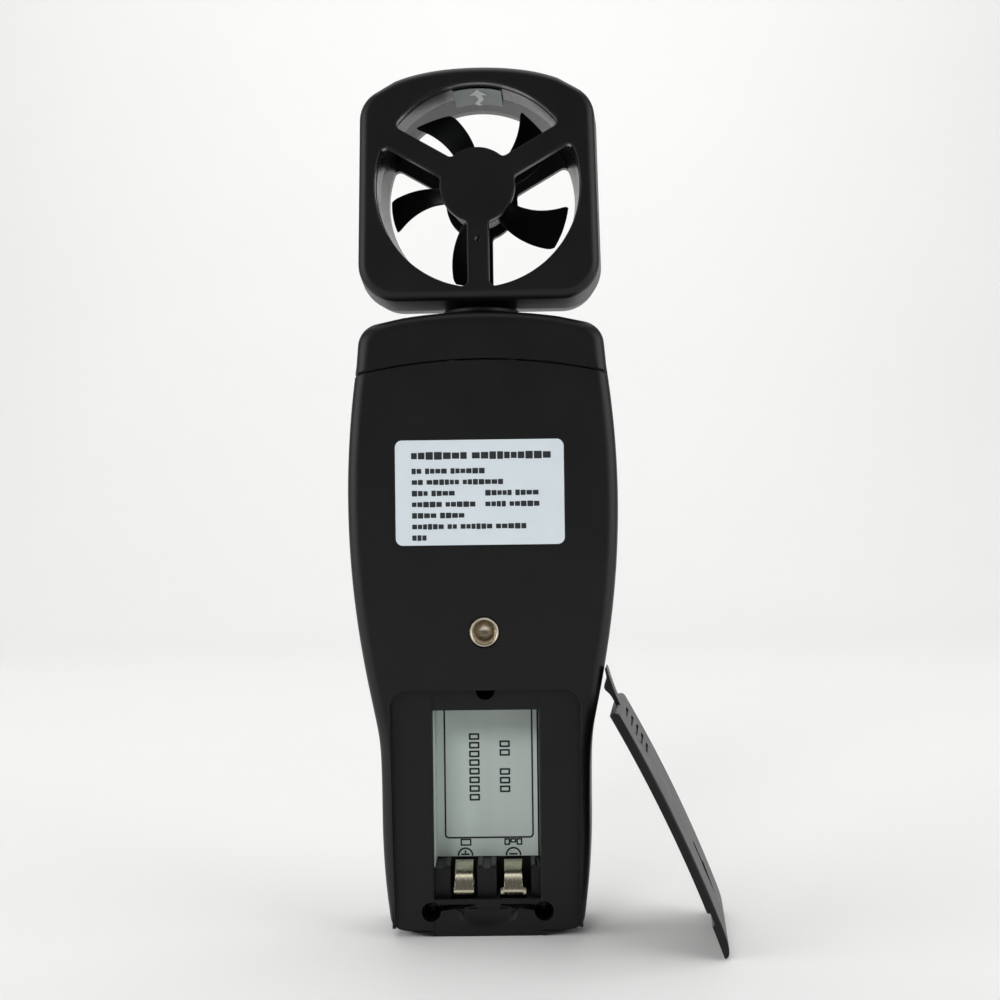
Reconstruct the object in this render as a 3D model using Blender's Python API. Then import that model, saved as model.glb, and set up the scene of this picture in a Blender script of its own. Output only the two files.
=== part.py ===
"""Handheld weather meter: a swivelling vane head on a battery-powered housing.

Frame, in metres: the meter stands on the housing's lower end at z = 0, +Z runs up the
housing's centre line, -Y is the back (battery bay, label, tripod insert) and +Y the
front (display and keys). The battery door is off and leans on the housing's +X side.
"""

import math

import bmesh
import bpy
import numpy as np
from mathutils import Matrix, Vector

MM = 0.001
GAP = 0.3 * MM                      # clearance between touching pieces

# Housing
BACK_Y = -15.0 * MM
FRONT_Y = 15.0 * MM
PARTING_Y = 3.0 * MM
BODY_TOP = 159.7 * MM               # crown of the top cap
BELLY_HALF = 35.6 * MM              # half width at the widest height
BELLY_Z = 111.5 * MM
BELLY_RADIUS = 232.0 * MM
GRIP_HALF = 27.6 * MM
GRIP_BLEND = 1.4 * MM
GRIP_TAPER_Z = 30.0 * MM
BACK_DRAFT = 1.3 * MM
BACK_ROUND = 3.0 * MM
FRONT_DRAFT = 0.8 * MM
FRONT_ROUND = 6.0 * MM
WALL = 2.2 * MM
CROWN_RADIUS = 134.0 * MM
SEAM_CROWN_Z = 147.4 * MM           # cap seam, at the centre line
SEAM_RADIUS = 140.0 * MM
CAVITY_TOP = 141.0 * MM

# Battery bay and door recess
RECESS_Y = -12.6 * MM
RECESS_TOP = 62.8 * MM
RECESS_HALF_TOP = 24.3 * MM
RECESS_HALF_LOW = 23.3 * MM
RECESS_ROUND = 4.5 * MM
BAY_HALF = 13.65 * MM
BAY_LOW = 9.4 * MM
BAY_HIGH = 57.5 * MM
BAY_FLOOR_Y = 5.1 * MM
BAY_WALL = 1.6 * MM
CONTACT_X = (-6.1 * MM, 6.6 * MM)
CONTACT_HALF = 2.5 * MM
SCREW_POST_R = 3.6 * MM
SCREW_PLACES = ((0.0, 62.6 * MM), (-14.4 * MM, 6.3 * MM), (14.4 * MM, 6.3 * MM))
SCREW_HOLE_R = 2.45 * MM

# Back face fittings
LABEL_X = -0.7 * MM
LABEL_Z = 113.2 * MM
LABEL_HALF = (21.5 * MM, 13.4 * MM)
LABEL_ROUND = 1.8 * MM
SOCKET_Z = 77.6 * MM
SOCKET_R = 3.75 * MM
SOCKET_BORE_R = 3.05 * MM

# Front face
WINDOW_Z = 118.0 * MM
WINDOW_HALF = (23.0 * MM, 16.5 * MM)
LENS_HALF = (25.0 * MM, 18.5 * MM)
KEY_HALF = (5.2 * MM, 3.4 * MM)
KEY_PROUD = 1.4 * MM                # key top above the front face
KEY_NAMES = ("power", "hold", "mode", "unit", "max_min", "light")
KEY_PITCH = (17.0 * MM, 13.0 * MM)
KEY_TOP_Z = 84.0 * MM
BOARD_Y = (7.6 * MM, 9.2 * MM)

# Vane head, in its own frame before the swivel is set
HEAD_TURN = math.radians(-1.8)
HEAD_HALF_DEPTH = 14.0 * MM
HEAD_LOW = 161.9 * MM
HEAD_HIGH = 223.5 * MM
HEAD_HALF_LOW = 32.0 * MM
HEAD_HALF_HIGH = 30.9 * MM
HEAD_ROUND_LOW = 10.5 * MM
HEAD_ROUND_HIGH = 9.0 * MM
HEAD_DRAFT = 0.9 * MM
HEAD_EDGE = 1.5 * MM
HEAD_WALL = 2.2 * MM
DUCT_Z = 192.1 * MM
DUCT_MOUTH_R = 26.8 * MM
DUCT_R = 26.2 * MM
DUCT_RIM_R = 25.2 * MM
DUCT_TUBE_R = 28.4 * MM
PLATE = 3.0 * MM                    # thickness of hub disc and spokes
HUB_R = 9.7 * MM
SPOKE_HALF = 2.8 * MM
SPOKE_ANGLES = (30.0, 150.0, 270.0)
HEAD_SCREWS = ((24.5, 169.0), (-24.5, 169.0), (25.0, 211.6), (-25.0, 211.6))

# Impeller
BLADES = 5
BLADE_FIRST = 49.0                  # degrees, about the axle
ROTOR_R = 8.2 * MM
BLADE_ROOT_R = 6.6 * MM
TIP_R = 23.8 * MM
AXLE_R = 0.75 * MM

# Swivel
NECK_R = 9.9 * MM
STEM_R = 7.0 * MM

# Battery door, leaning on the housing
DOOR_HALF = 23.9 * MM
DOOR_LEAN = math.radians(24.74)
DOOR_YAW = math.radians(84.5)
DOOR_FOOT = Vector((59.3 * MM, -13.13 * MM, 0.15 * MM))
DOOR_PIVOT_UP = 2.6 * MM            # tipping axis, up the inner face from the lower edge
TONGUE_HALF = 4.5 * MM


# ---------------------------------------------------------------- helpers

def clear_scene():
    """Removes the start-up objects."""
    for obj in list(bpy.data.objects):
        bpy.data.objects.remove(obj, do_unlink=True)


def material(name, colour, roughness, metallic=0.0, alpha=1.0):
    """A Principled BSDF with a linear colour."""
    made = bpy.data.materials.get(name)
    if made:
        return made
    made = bpy.data.materials.new(name)
    made.use_nodes = True
    shader = made.node_tree.nodes["Principled BSDF"]
    shader.inputs["Base Color"].default_value = (*colour, 1.0)
    shader.inputs["Roughness"].default_value = roughness
    shader.inputs["Metallic"].default_value = metallic
    shader.inputs["Alpha"].default_value = alpha
    return made


def black_plastic():
    return material("black_abs", (0.012, 0.012, 0.013), 0.42)


def steel():
    return material("zinc_plated_steel", (0.6, 0.6, 0.62), 0.3, 1.0)


def nickel():
    return material("nickel_plate", (0.72, 0.68, 0.6), 0.22, 1.0)


def mesh_object(name, points, faces, finish):
    """A mesh object whose faces are turned to point out."""
    mesh = bpy.data.meshes.new(name)
    mesh.from_pydata([tuple(p) for p in points], [], [tuple(f) for f in faces])
    bm = bmesh.new()
    bm.from_mesh(mesh)
    bmesh.ops.remove_doubles(bm, verts=bm.verts, dist=1e-7)
    bmesh.ops.recalc_face_normals(bm, faces=bm.faces)
    bm.to_mesh(mesh)
    bm.free()
    mesh.materials.append(finish)
    mesh.shade_smooth()
    mesh.set_sharp_from_angle(angle=math.radians(30))
    obj = bpy.data.objects.new(name, mesh)
    bpy.context.scene.collection.objects.link(obj)
    return obj


def loft(name, rings, finish):
    """A closed solid through rings with the same number of points, capped at both ends."""
    count = len(rings[0])
    points = [p for ring in rings for p in ring]
    faces = [list(range(count))[::-1]]
    for level in range(len(rings) - 1):
        low = level * count
        for i in range(count):
            j = (i + 1) % count
            faces.append((low + i, low + j, low + count + j, low + count + i))
    last = (len(rings) - 1) * count
    faces.append([last + i for i in range(count)])
    return mesh_object(name, points, faces, finish)


def prism(name, outline, y_low, y_high, finish):
    """An outline of (x, z) points, extruded along Y."""
    rings = [[(x, y, z) for x, z in outline] for y in (y_low, y_high)]
    return loft(name, rings, finish)


def box(name, low, high, finish):
    outline = ((low[0], low[2]), (high[0], low[2]), (high[0], high[2]), (low[0], high[2]))
    return prism(name, outline, low[1], high[1], finish)


def turned(name, profile, finish, centre=(0, 0, 0), along="Y", steps=32, closed=False):
    """A turned solid. profile holds (radius, distance along the axis) points.

    An open profile starts and ends on the axis. A closed one goes round a ring's section.
    """
    points = []
    faces = []
    rows = []
    for radius, height in profile:
        if radius == 0:
            rows.append([len(points)])
            points.append((0.0, height, 0.0))
            continue
        rows.append(range(len(points), len(points) + steps))
        for i in range(steps):
            angle = 2 * math.pi * i / steps
            points.append((radius * math.cos(angle), height, radius * math.sin(angle)))
    pairs = list(zip(rows, rows[1:]))
    if closed:
        pairs.append((rows[-1], rows[0]))
    for one, two in pairs:
        for i in range(steps):
            j = (i + 1) % steps
            corners = [one[i % len(one)], one[j % len(one)], two[j % len(two)], two[i % len(two)]]
            corners = list(dict.fromkeys(corners))
            if len(corners) > 2:
                faces.append(corners)
    turn = Matrix.Rotation(math.radians(90), 3, "X") if along == "Z" else Matrix.Identity(3)
    place = Vector(centre)
    return mesh_object(name, [turn @ Vector(p) + place for p in points], faces, finish)


def rod(name, radius, start, end, finish, centre=(0, 0), along="Y", steps=24):
    """A plain round bar between two stations of its axis."""
    middle = (centre[0], 0, centre[1]) if along == "Y" else (centre[0], centre[1], 0)
    profile = ((0, start), (radius, start), (radius, end), (0, end))
    return turned(name, profile, finish, middle, along, steps)


def tube(name, outer, inner, start, end, finish, centre=(0, 0), along="Y", steps=24):
    """A round bar with a bore right through it."""
    middle = (centre[0], 0, centre[1]) if along == "Y" else (centre[0], centre[1], 0)
    profile = ((inner, start), (outer, start), (outer, end), (inner, end))
    return turned(name, profile, finish, middle, along, steps, closed=True)


def tidy(mesh):
    """Merges points closer than a micrometre, joins flat neighbours, then cuts triangles."""
    bm = bmesh.new()
    bm.from_mesh(mesh)
    bmesh.ops.remove_doubles(bm, verts=bm.verts, dist=1.5e-6)
    bmesh.ops.dissolve_degenerate(bm, dist=1e-6, edges=bm.edges)
    flat = math.radians(0.05)
    bmesh.ops.dissolve_limit(bm, angle_limit=flat, verts=bm.verts, edges=bm.edges)
    bmesh.ops.triangulate(bm, faces=bm.faces)
    bm.to_mesh(mesh)
    bm.free()


def combine(obj, others, operation):
    """Cuts from, or joins to, obj each of the others, and removes them.

    The solids are enlarged to millimetres for the cut, which keeps small edges apart.
    """
    enlarge = Matrix.Scale(1 / MM, 4)
    for other in others:
        tidy(obj.data)
        tidy(other.data)
        obj.data.transform(enlarge)
        other.data.transform(enlarge)
        modifier = obj.modifiers.new(other.name, "BOOLEAN")
        modifier.operation = operation
        modifier.solver = "EXACT"
        modifier.object = other
        graph = bpy.context.evaluated_depsgraph_get()
        solid = bpy.data.meshes.new_from_object(obj.evaluated_get(graph))
        obj.modifiers.clear()
        solid.transform(enlarge.inverted())
        tidy(solid)
        obj.data = solid
        bpy.data.objects.remove(other, do_unlink=True)
    return obj


def cut(obj, *others):
    return combine(obj, others, "DIFFERENCE")


def join(obj, *others):
    return combine(obj, others, "UNION")


def fillet(corners, steps=4):
    """Rounds the corners of an outline. corners holds (x, z, radius); 0 keeps a corner."""
    points = []
    count = len(corners)
    for i, (x, z, radius) in enumerate(corners):
        here = Vector((x, z))
        if radius == 0:
            points.append(here)
            continue
        back = (Vector(corners[i - 1][:2]) - here).normalized()
        ahead = (Vector(corners[(i + 1) % count][:2]) - here).normalized()
        half = 0.5 * back.angle(ahead)
        centre = here + (back + ahead).normalized() * radius / math.sin(half)
        first = here + back * radius / math.tan(half) - centre
        last = here + ahead * radius / math.tan(half) - centre
        sweep = first.angle_signed(last)
        for step in range(steps + 1):
            spoke = Matrix.Rotation(-sweep * step / steps, 2) @ first
            points.append(centre + spoke)
    return [(p.x, p.y) for p in points]


def rounded_box(half_x, half_z, radius, centre_z=0.0, centre_x=0.0, steps=4):
    """Outline of a rectangle with rounded corners."""
    signs = ((-1, -1), (1, -1), (1, 1), (-1, 1))
    corners = [(centre_x + i * half_x, centre_z + j * half_z, radius) for i, j in signs]
    return fillet(corners, steps)


# ---------------------------------------------------------------- housing shapes

def half_width(z):
    """Half the housing's width at a height: a belly arc, eased into a straight grip."""
    belly = BELLY_HALF - (z - BELLY_Z) ** 2 / (2 * BELLY_RADIUS)
    taper = max(0.0, GRIP_TAPER_Z - z)
    grip = GRIP_HALF - 2.7 * taper ** 2
    spread = math.hypot(belly - grip, GRIP_BLEND)
    return 0.5 * (belly + grip + spread)


def body_outline(inset, lift=None):
    """Front-view outline of the housing and its cap, drawn in by inset.

    lift is how far the two ends are drawn in, which have no draft: the foot stands flat.
    """
    lift = inset if lift is None else lift
    corner_z = 2.3 * MM
    shoulder_x = 32.3 * MM
    crown = BODY_TOP - lift
    right = [(13.0 * MM, lift, 0.0)]
    foot_round = max(4.6 * MM - 0.8 * inset, 0.5 * MM)
    right.append((half_width(corner_z) - inset, corner_z + lift, foot_round))
    for z in np.linspace(10.0 * MM, 146.0 * MM, 15):
        right.append((half_width(z) - inset, z, 0.0))
    shoulder_z = crown - shoulder_x ** 2 / (2 * CROWN_RADIUS)
    shoulder_round = max(7.0 * MM - 0.8 * inset, 0.8 * MM)
    right.append((shoulder_x - inset, shoulder_z, shoulder_round))
    for x in (20.0 * MM, 10.0 * MM):
        right.append((x, crown - x ** 2 / (2 * CROWN_RADIUS), 0.0))
    left = [(-x, z, radius) for x, z, radius in reversed(right)]
    return fillet(right + [(0.0, crown, 0.0)] + left)


def layer(outline, y):
    return [(x, y, z) for x, z in outline]


def edge_levels(face, parting, draft, edge, steps):
    """(y, draft, rounding) from the flat face, round its edge, to the parting plane."""
    inward = 1 if parting > face else -1
    levels = []
    for step in range(steps + 1):
        angle = 0.5 * math.pi * step / steps
        y = face + inward * edge * (1 - math.cos(angle))
        lean = draft * (parting - y) / (parting - face)
        levels.append((y, lean, edge * (1 - math.sin(angle))))
    levels.append((parting, 0.0, 0.0))
    return levels


def body_rings(levels, extra=0.0):
    """Rings of the housing at each level; extra draws the whole shape in for a cavity."""
    rings = []
    for y, lean, rounding in levels:
        outline = body_outline(lean + rounding + extra, rounding + extra)
        rings.append(layer(outline, y))
    return rings


def housing_half(name, face, parting, draft, edge, steps):
    """Solid half of the housing."""
    return loft(name, body_rings(edge_levels(face, parting, draft, edge, steps)), black_plastic())


def seam_outline(offset, up):
    """Region above, or below, the arched seam between the cap and the housing."""
    reach = 45.0 * MM
    far = 260.0 * MM if up else -60.0 * MM
    xs = np.linspace(-reach, reach, 19)
    arc = [(x, SEAM_CROWN_Z + offset - x ** 2 / (2 * SEAM_RADIUS)) for x in xs]
    return arc + [(reach, far), (-reach, far)]


def seam_block(offset, up):
    wide = 40.0 * MM
    return prism("seam_block", seam_outline(offset, up), -wide, wide, black_plastic())


def cavity(face, parting, draft, edge, steps, through):
    """Hollow of a housing half, up to the top wall; it runs past the parting plane."""
    rings = body_rings(edge_levels(face, parting, draft, edge, steps), WALL)
    rings.append(layer(body_outline(WALL), through))
    hollow = loft("hollow", rings, black_plastic())
    wide = 60.0 * MM
    top = box("top", (-wide, -wide, CAVITY_TOP), (wide, wide, 0.3), black_plastic())
    return cut(hollow, top)


def recess_block():
    """Space that the battery door fills when it is fitted."""
    corners = (
        (-RECESS_HALF_LOW, -5.0 * MM, 0.0),
        (RECESS_HALF_LOW, -5.0 * MM, 0.0),
        (RECESS_HALF_TOP, RECESS_TOP, RECESS_ROUND),
        (-RECESS_HALF_TOP, RECESS_TOP, RECESS_ROUND),
    )
    return prism("recess", fillet(corners), BACK_Y - 5.0 * MM, RECESS_Y, black_plastic())


def bay_blocks():
    """Posts either side of the contacts and between them, on the bay's lower wall."""
    top = 16.6 * MM
    wall = BAY_HALF + 1.0 * MM
    spans = ((-wall, -9.6 * MM), (-2.7 * MM, 2.3 * MM), (11.2 * MM, wall))
    blocks = []
    for low, high in spans:
        start = (low, -8.6 * MM, BAY_LOW - 1.0 * MM)
        end = (high, BAY_FLOOR_Y + 1.0 * MM, top)
        blocks.append(box("bay_block", start, end, black_plastic()))
    return blocks


def make_back_shell():
    """Back shell with the battery bay, the door recess and the screw posts."""
    black = black_plastic()
    face = BACK_Y
    parting = PARTING_Y - 0.5 * GAP
    shell = housing_half("back_shell", face, parting, BACK_DRAFT, BACK_ROUND, 3)
    cut(shell, seam_block(-GAP, up=True))
    hollow = cavity(face + WALL, parting, BACK_DRAFT, BACK_ROUND, 3, 12.0 * MM)
    cut(shell, hollow)
    outer = BAY_HALF + BAY_WALL
    low = (-outer, RECESS_Y - 1.0 * MM, 4.9 * MM)
    high = (outer, BAY_FLOOR_Y + BAY_WALL, BAY_HIGH + BAY_WALL)
    join(shell, box("bay", low, high, black))
    floor_half = RECESS_HALF_LOW + 0.9 * MM
    low = (-floor_half, RECESS_Y - 1.6 * MM, 2.6 * MM)
    high = (floor_half, RECESS_Y + 1.8 * MM, RECESS_TOP + 3.0 * MM)
    join(shell, box("recess_floor", low, high, black))
    for x, z in SCREW_PLACES:
        post = rod("post", SCREW_POST_R, RECESS_Y - 1.2 * MM, 2.6 * MM, black, (x, z))
        join(shell, post)
    socket = rod("socket", 6.2 * MM, BACK_Y + 1.0 * MM, -3.2 * MM, black, (0, SOCKET_Z))
    join(shell, socket)
    cut(shell, recess_block())
    low = (-BAY_HALF, BACK_Y - 1.0 * MM, BAY_LOW)
    high = (BAY_HALF, BAY_FLOOR_Y, BAY_HIGH)
    cut(shell, box("pocket", low, high, black))
    join(shell, *bay_blocks())
    low = (-BAY_HALF, BACK_Y - 1.0 * MM, BAY_HIGH - 1.0 * MM)
    high = (BAY_HALF, RECESS_Y + 0.6 * MM, RECESS_TOP - 0.2 * MM)
    cut(shell, box("ledge", low, high, black))
    for x, z in SCREW_PLACES:
        start = RECESS_Y - 0.1 * MM
        cut(shell, rod("hole", SCREW_HOLE_R, start, -4.4 * MM, black, (x, z)))
        cut(shell, rod("hole", 1.45 * MM, -5.0 * MM, 8.0 * MM, black, (x, z), steps=16))
    for x in CONTACT_X:
        half = CONTACT_HALF + 0.9 * MM
        low = (x - half, -11.4 * MM, BAY_LOW - 2.6 * MM)
        high = (x + half, 2.6 * MM, BAY_LOW + 1.0 * MM)
        cut(shell, box("contact_slot", low, high, black))
    hole = rod("hole", SOCKET_R + GAP, BACK_Y - 1.0 * MM, -4.2 * MM, black, (0, SOCKET_Z), steps=32)
    cut(shell, hole)
    rebate = rounded_box(LABEL_HALF[0] + GAP, LABEL_HALF[1] + GAP, LABEL_ROUND + GAP, LABEL_Z, LABEL_X)
    cut(shell, prism("rebate", rebate, BACK_Y - 1.0 * MM, BACK_Y + 0.4 * MM, black))
    return shell


def key_places():
    """(name, x, z) of each key, two to a row."""
    places = []
    for i, name in enumerate(KEY_NAMES):
        x = (i % 2 - 0.5) * KEY_PITCH[0]
        z = KEY_TOP_Z - (i // 2) * KEY_PITCH[1]
        places.append((name, x, z))
    return places


def make_front_shell():
    """Front shell with the display window, the key holes and three screw posts."""
    black = black_plastic()
    parting = PARTING_Y + 0.5 * GAP
    shell = housing_half("front_shell", FRONT_Y, parting, FRONT_DRAFT, FRONT_ROUND, 4)
    cut(shell, seam_block(-GAP, up=True))
    hollow = cavity(FRONT_Y - WALL, parting, FRONT_DRAFT, FRONT_ROUND, 4, -12.0 * MM)
    cut(shell, hollow)
    for x, z in SCREW_PLACES:
        start = BAY_FLOOR_Y + BAY_WALL + GAP
        post = rod("post", 2.9 * MM, start, FRONT_Y - 1.0 * MM, black, (x, z))
        join(shell, post)
        cut(shell, rod("hole", 1.3 * MM, 3.0 * MM, 11.0 * MM, black, (x, z), steps=16))
    window = rounded_box(*WINDOW_HALF, 2.0 * MM, WINDOW_Z)
    cut(shell, prism("window", window, 8.0 * MM, FRONT_Y + 2.0 * MM, black))
    rebate = rounded_box(LENS_HALF[0] + GAP, LENS_HALF[1] + GAP, 3.0 * MM, WINDOW_Z)
    cut(shell, prism("rebate", rebate, FRONT_Y - 1.3 * MM, FRONT_Y + 2.0 * MM, black))
    for _, x, z in key_places():
        hole = rounded_box(KEY_HALF[0] + GAP, KEY_HALF[1] + GAP, KEY_HALF[1], z, x)
        cut(shell, prism("key_hole", hole, 8.0 * MM, FRONT_Y + 2.0 * MM, black))
    return shell


def make_top_cap():
    """Arched cap over the end of the housing, with a boss for the swivel bush."""
    black = black_plastic()
    back = edge_levels(BACK_Y, PARTING_Y, BACK_DRAFT, BACK_ROUND, 3)
    front = edge_levels(FRONT_Y, PARTING_Y, FRONT_DRAFT, FRONT_ROUND, 4)
    levels = back + front[-2::-1]
    cap = loft("top_cap", body_rings(levels), black)
    cut(cap, seam_block(0.0, up=False))
    back = edge_levels(BACK_Y + WALL, PARTING_Y, BACK_DRAFT, BACK_ROUND, 3)
    front = edge_levels(FRONT_Y - WALL, PARTING_Y, FRONT_DRAFT, FRONT_ROUND, 4)
    levels = back + front[-2::-1]
    cut(cap, loft("hollow", body_rings(levels, WALL), black))
    join(cap, rod("boss", 12.4 * MM, 152.5 * MM, 158.6 * MM, black, along="Z", steps=32))
    cut(cap, rod("bore", 9.7 * MM, 148.0 * MM, 165.0 * MM, black, along="Z", steps=32))
    return cap


# ---------------------------------------------------------------- back face fittings

def make_rating_label():
    silver = material("label_film", (0.62, 0.67, 0.72), 0.35)
    outline = rounded_box(*LABEL_HALF, LABEL_ROUND, LABEL_Z, LABEL_X)
    return prism("rating_label", outline, BACK_Y, BACK_Y + 0.2 * MM, silver)


def make_tripod_insert():
    """Blind threaded insert, shown as its core bore, with a rebated rim."""
    start = BACK_Y
    profile = (
        (0, -6.4 * MM),
        (SOCKET_BORE_R, -7.0 * MM),
        (SOCKET_BORE_R, start + 0.8 * MM),
        (SOCKET_BORE_R + 0.25 * MM, start + 0.3 * MM),
        (SOCKET_BORE_R + 0.3 * MM, start),
        (SOCKET_R, start),
        (SOCKET_R, -4.6 * MM),
        (0, -4.6 * MM),
    )
    return turned("tripod_insert", profile, nickel(), (0, 0, SOCKET_Z))


def make_bay_sticker():
    film = material("bay_film", (0.5, 0.57, 0.54), 0.4)
    top = BAY_FLOOR_Y - GAP
    low = (-BAY_HALF + 0.4 * MM, top - 0.2 * MM, 16.9 * MM)
    high = (BAY_HALF - 0.4 * MM, top, BAY_HIGH - 0.4 * MM)
    return box("bay_sticker", low, high, film)


def make_contact(name, x):
    """Leaf contact: a strip that rises from its foot, turns back and dips behind."""
    path = (
        (-10.4, 8.7), (-10.2, 10.9), (-9.3, 11.4), (-8.7, 13.4), (-7.4, 15.2),
        (-5.0, 16.3), (-2.2, 16.8), (-0.2, 16.2), (0.9, 14.4), (1.2, 9.4),
    )
    thick = 0.35 * MM
    middle = [Vector((y * MM, z * MM)) for y, z in path]
    near, far = [], []
    for i, point in enumerate(middle):
        step = middle[min(i + 1, len(middle) - 1)] - middle[max(i - 1, 0)]
        side = Vector((-step.y, step.x)).normalized() * 0.5 * thick
        near.append(point + side)
        far.append(point - side)
    section = near + far[::-1]
    rings = []
    for side in (-CONTACT_HALF, CONTACT_HALF):
        rings.append([(x + side, p.x, p.y) for p in section])
    return loft(name, rings, nickel())


def make_screw(name, x, z, head_y, head_r, tip_y, shank_r, inward=1):
    """Pan-head screw along Y, with a cross recess left plain."""
    height = 1.5 * MM * inward
    profile = (
        (0, head_y),
        (0.75 * head_r, head_y),
        (head_r, head_y + 0.4 * height),
        (head_r, head_y + height),
        (shank_r, head_y + height),
        (shank_r, tip_y - height),
        (0, tip_y),
    )
    return turned(name, profile, steel(), (x, 0, z), steps=16)


def make_housing_screws():
    for name, (x, z) in zip(("top", "left", "right"), SCREW_PLACES):
        make_screw(f"housing_screw_{name}", x, z, -6.3 * MM, 2.05 * MM, 9.8 * MM, 1.0 * MM)


# ---------------------------------------------------------------- display and keys

def make_display():
    """Lens, panel and its carrier, the board behind them and the buzzer."""
    clear = material("acrylic_lens", (0.55, 0.6, 0.6), 0.08, alpha=0.35)
    outline = rounded_box(*LENS_HALF, 2.7 * MM, WINDOW_Z)
    prism("display_lens", outline, FRONT_Y - 1.0 * MM, FRONT_Y, clear)
    glass = material("lcd_glass", (0.4, 0.45, 0.38), 0.15)
    low = (-21.5 * MM, 11.6 * MM, WINDOW_Z - 15.0 * MM)
    high = (21.5 * MM, 13.2 * MM, WINDOW_Z + 15.0 * MM)
    box("lcd_panel", low, high, glass)
    white = material("white_carrier", (0.8, 0.8, 0.78), 0.5)
    low = (-24.5 * MM, 9.5 * MM, WINDOW_Z - 13.2 * MM)
    high = (24.5 * MM, 11.3 * MM, WINDOW_Z + 17.5 * MM)
    box("lcd_carrier", low, high, white)
    rubber = material("zebra_rubber", (0.25, 0.2, 0.3), 0.6)
    low = (-20.0 * MM, 9.5 * MM, WINDOW_Z - 15.0 * MM)
    high = (20.0 * MM, 11.3 * MM, WINDOW_Z - 13.5 * MM)
    box("lcd_connector", low, high, rubber)
    green = material("circuit_board", (0.02, 0.12, 0.05), 0.45)
    corners = (
        (-22.0 * MM, 67.5 * MM, 1.5 * MM), (22.0 * MM, 67.5 * MM, 1.5 * MM),
        (27.5 * MM, 84.0 * MM, 2.0 * MM), (27.5 * MM, 138.0 * MM, 2.0 * MM),
        (-27.5 * MM, 138.0 * MM, 2.0 * MM), (-27.5 * MM, 84.0 * MM, 2.0 * MM),
    )
    prism("main_board", fillet(corners, 2), *BOARD_Y, green)
    black = material("buzzer_case", (0.02, 0.02, 0.02), 0.35)
    tube("buzzer", 6.0 * MM, 1.0 * MM, 1.2 * MM, BOARD_Y[0] - GAP, black, (14.0 * MM, 98.0 * MM))


def make_keys():
    """Six keys on one rubber sheet; each stands proud of the shell by its press."""
    rubber = material("key_rubber", (0.03, 0.03, 0.032), 0.6)
    key_finish = material("key_cap", (0.35, 0.36, 0.37), 0.5)
    low = (-15.5 * MM, 9.5 * MM, 53.5 * MM)
    high = (15.5 * MM, 10.3 * MM, 89.0 * MM)
    sheet = box("key_sheet", low, high, rubber)
    for x, z in SCREW_PLACES[:1]:
        cut(sheet, rod("hole", 3.3 * MM, 8.0 * MM, 12.0 * MM, rubber, (x, z)))
    for name, x, z in key_places():
        outline = rounded_box(*KEY_HALF, KEY_HALF[1] - 0.2 * MM, z)
        skirt = rounded_box(KEY_HALF[0] + 0.9 * MM, KEY_HALF[1] + 0.9 * MM, KEY_HALF[1], z)
        small = rounded_box(KEY_HALF[0] - 0.5 * MM, KEY_HALF[1] - 0.5 * MM, KEY_HALF[1] - 0.7 * MM, z)
        top = FRONT_Y + KEY_PROUD
        under = FRONT_Y - WALL - GAP
        rings = [
            layer(skirt, under - 0.8 * MM), layer(skirt, under), layer(outline, under),
            layer(outline, top - 0.5 * MM), layer(small, top),
        ]
        rings = [[(px + x, py, pz) for px, py, pz in ring] for ring in rings]
        loft(f"key_{name}", rings, key_finish)


# ---------------------------------------------------------------- vane head

def head_drop(x):
    """How far the head's top edge has dropped at x: nearly flat, then faster to the corners."""
    across = x / MM
    return (0.00524 * across ** 2 + 4.4e-6 * across ** 4) * MM


def head_outline(inset):
    """Front-view outline of the vane head, drawn in by inset."""
    low = HEAD_LOW + inset
    high = HEAD_HIGH - inset
    side_low = HEAD_HALF_LOW - inset
    side_high = HEAD_HALF_HIGH - inset
    shoulder_z = high - head_drop(side_high)
    right = [
        (side_low, low, max(HEAD_ROUND_LOW - inset, 1.0 * MM)),
        (side_high, shoulder_z, max(HEAD_ROUND_HIGH - inset, 1.0 * MM)),
    ]
    for x in (21.0 * MM, 14.0 * MM, 7.0 * MM):
        right.append((x, high - head_drop(x), 0.0))
    left = [(-x, z, radius) for x, z, radius in reversed(right)]
    return fillet(right + [(0.0, high, 0.0)] + left, 6)


def polar(angle, reach):
    return (reach * math.cos(angle), reach * math.sin(angle))


def duct_sector(start, end, radius):
    """One opening between two spokes, from the hub disc out to the duct wall."""
    inner = HUB_R
    middle = math.radians(0.5 * (start + end))
    inner_half = math.radians(60.0) - math.asin(SPOKE_HALF / inner)
    outer_half = math.radians(60.0) - math.asin(SPOKE_HALF / radius)
    corner = 1.6 * MM
    points = []
    for i in range(9):
        angle = middle + inner_half * (1 - i / 4.0)
        points.append(polar(angle, inner))
    lead = corner / radius
    for i in range(15):
        angle = middle - (outer_half - lead) * (1 - i / 7.0)
        points.append(polar(angle, radius))
    points.insert(24, polar(middle + outer_half, radius - corner))
    points.insert(9, polar(middle - outer_half, radius - corner))
    return [(x, z + DUCT_Z) for x, z in points]


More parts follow.
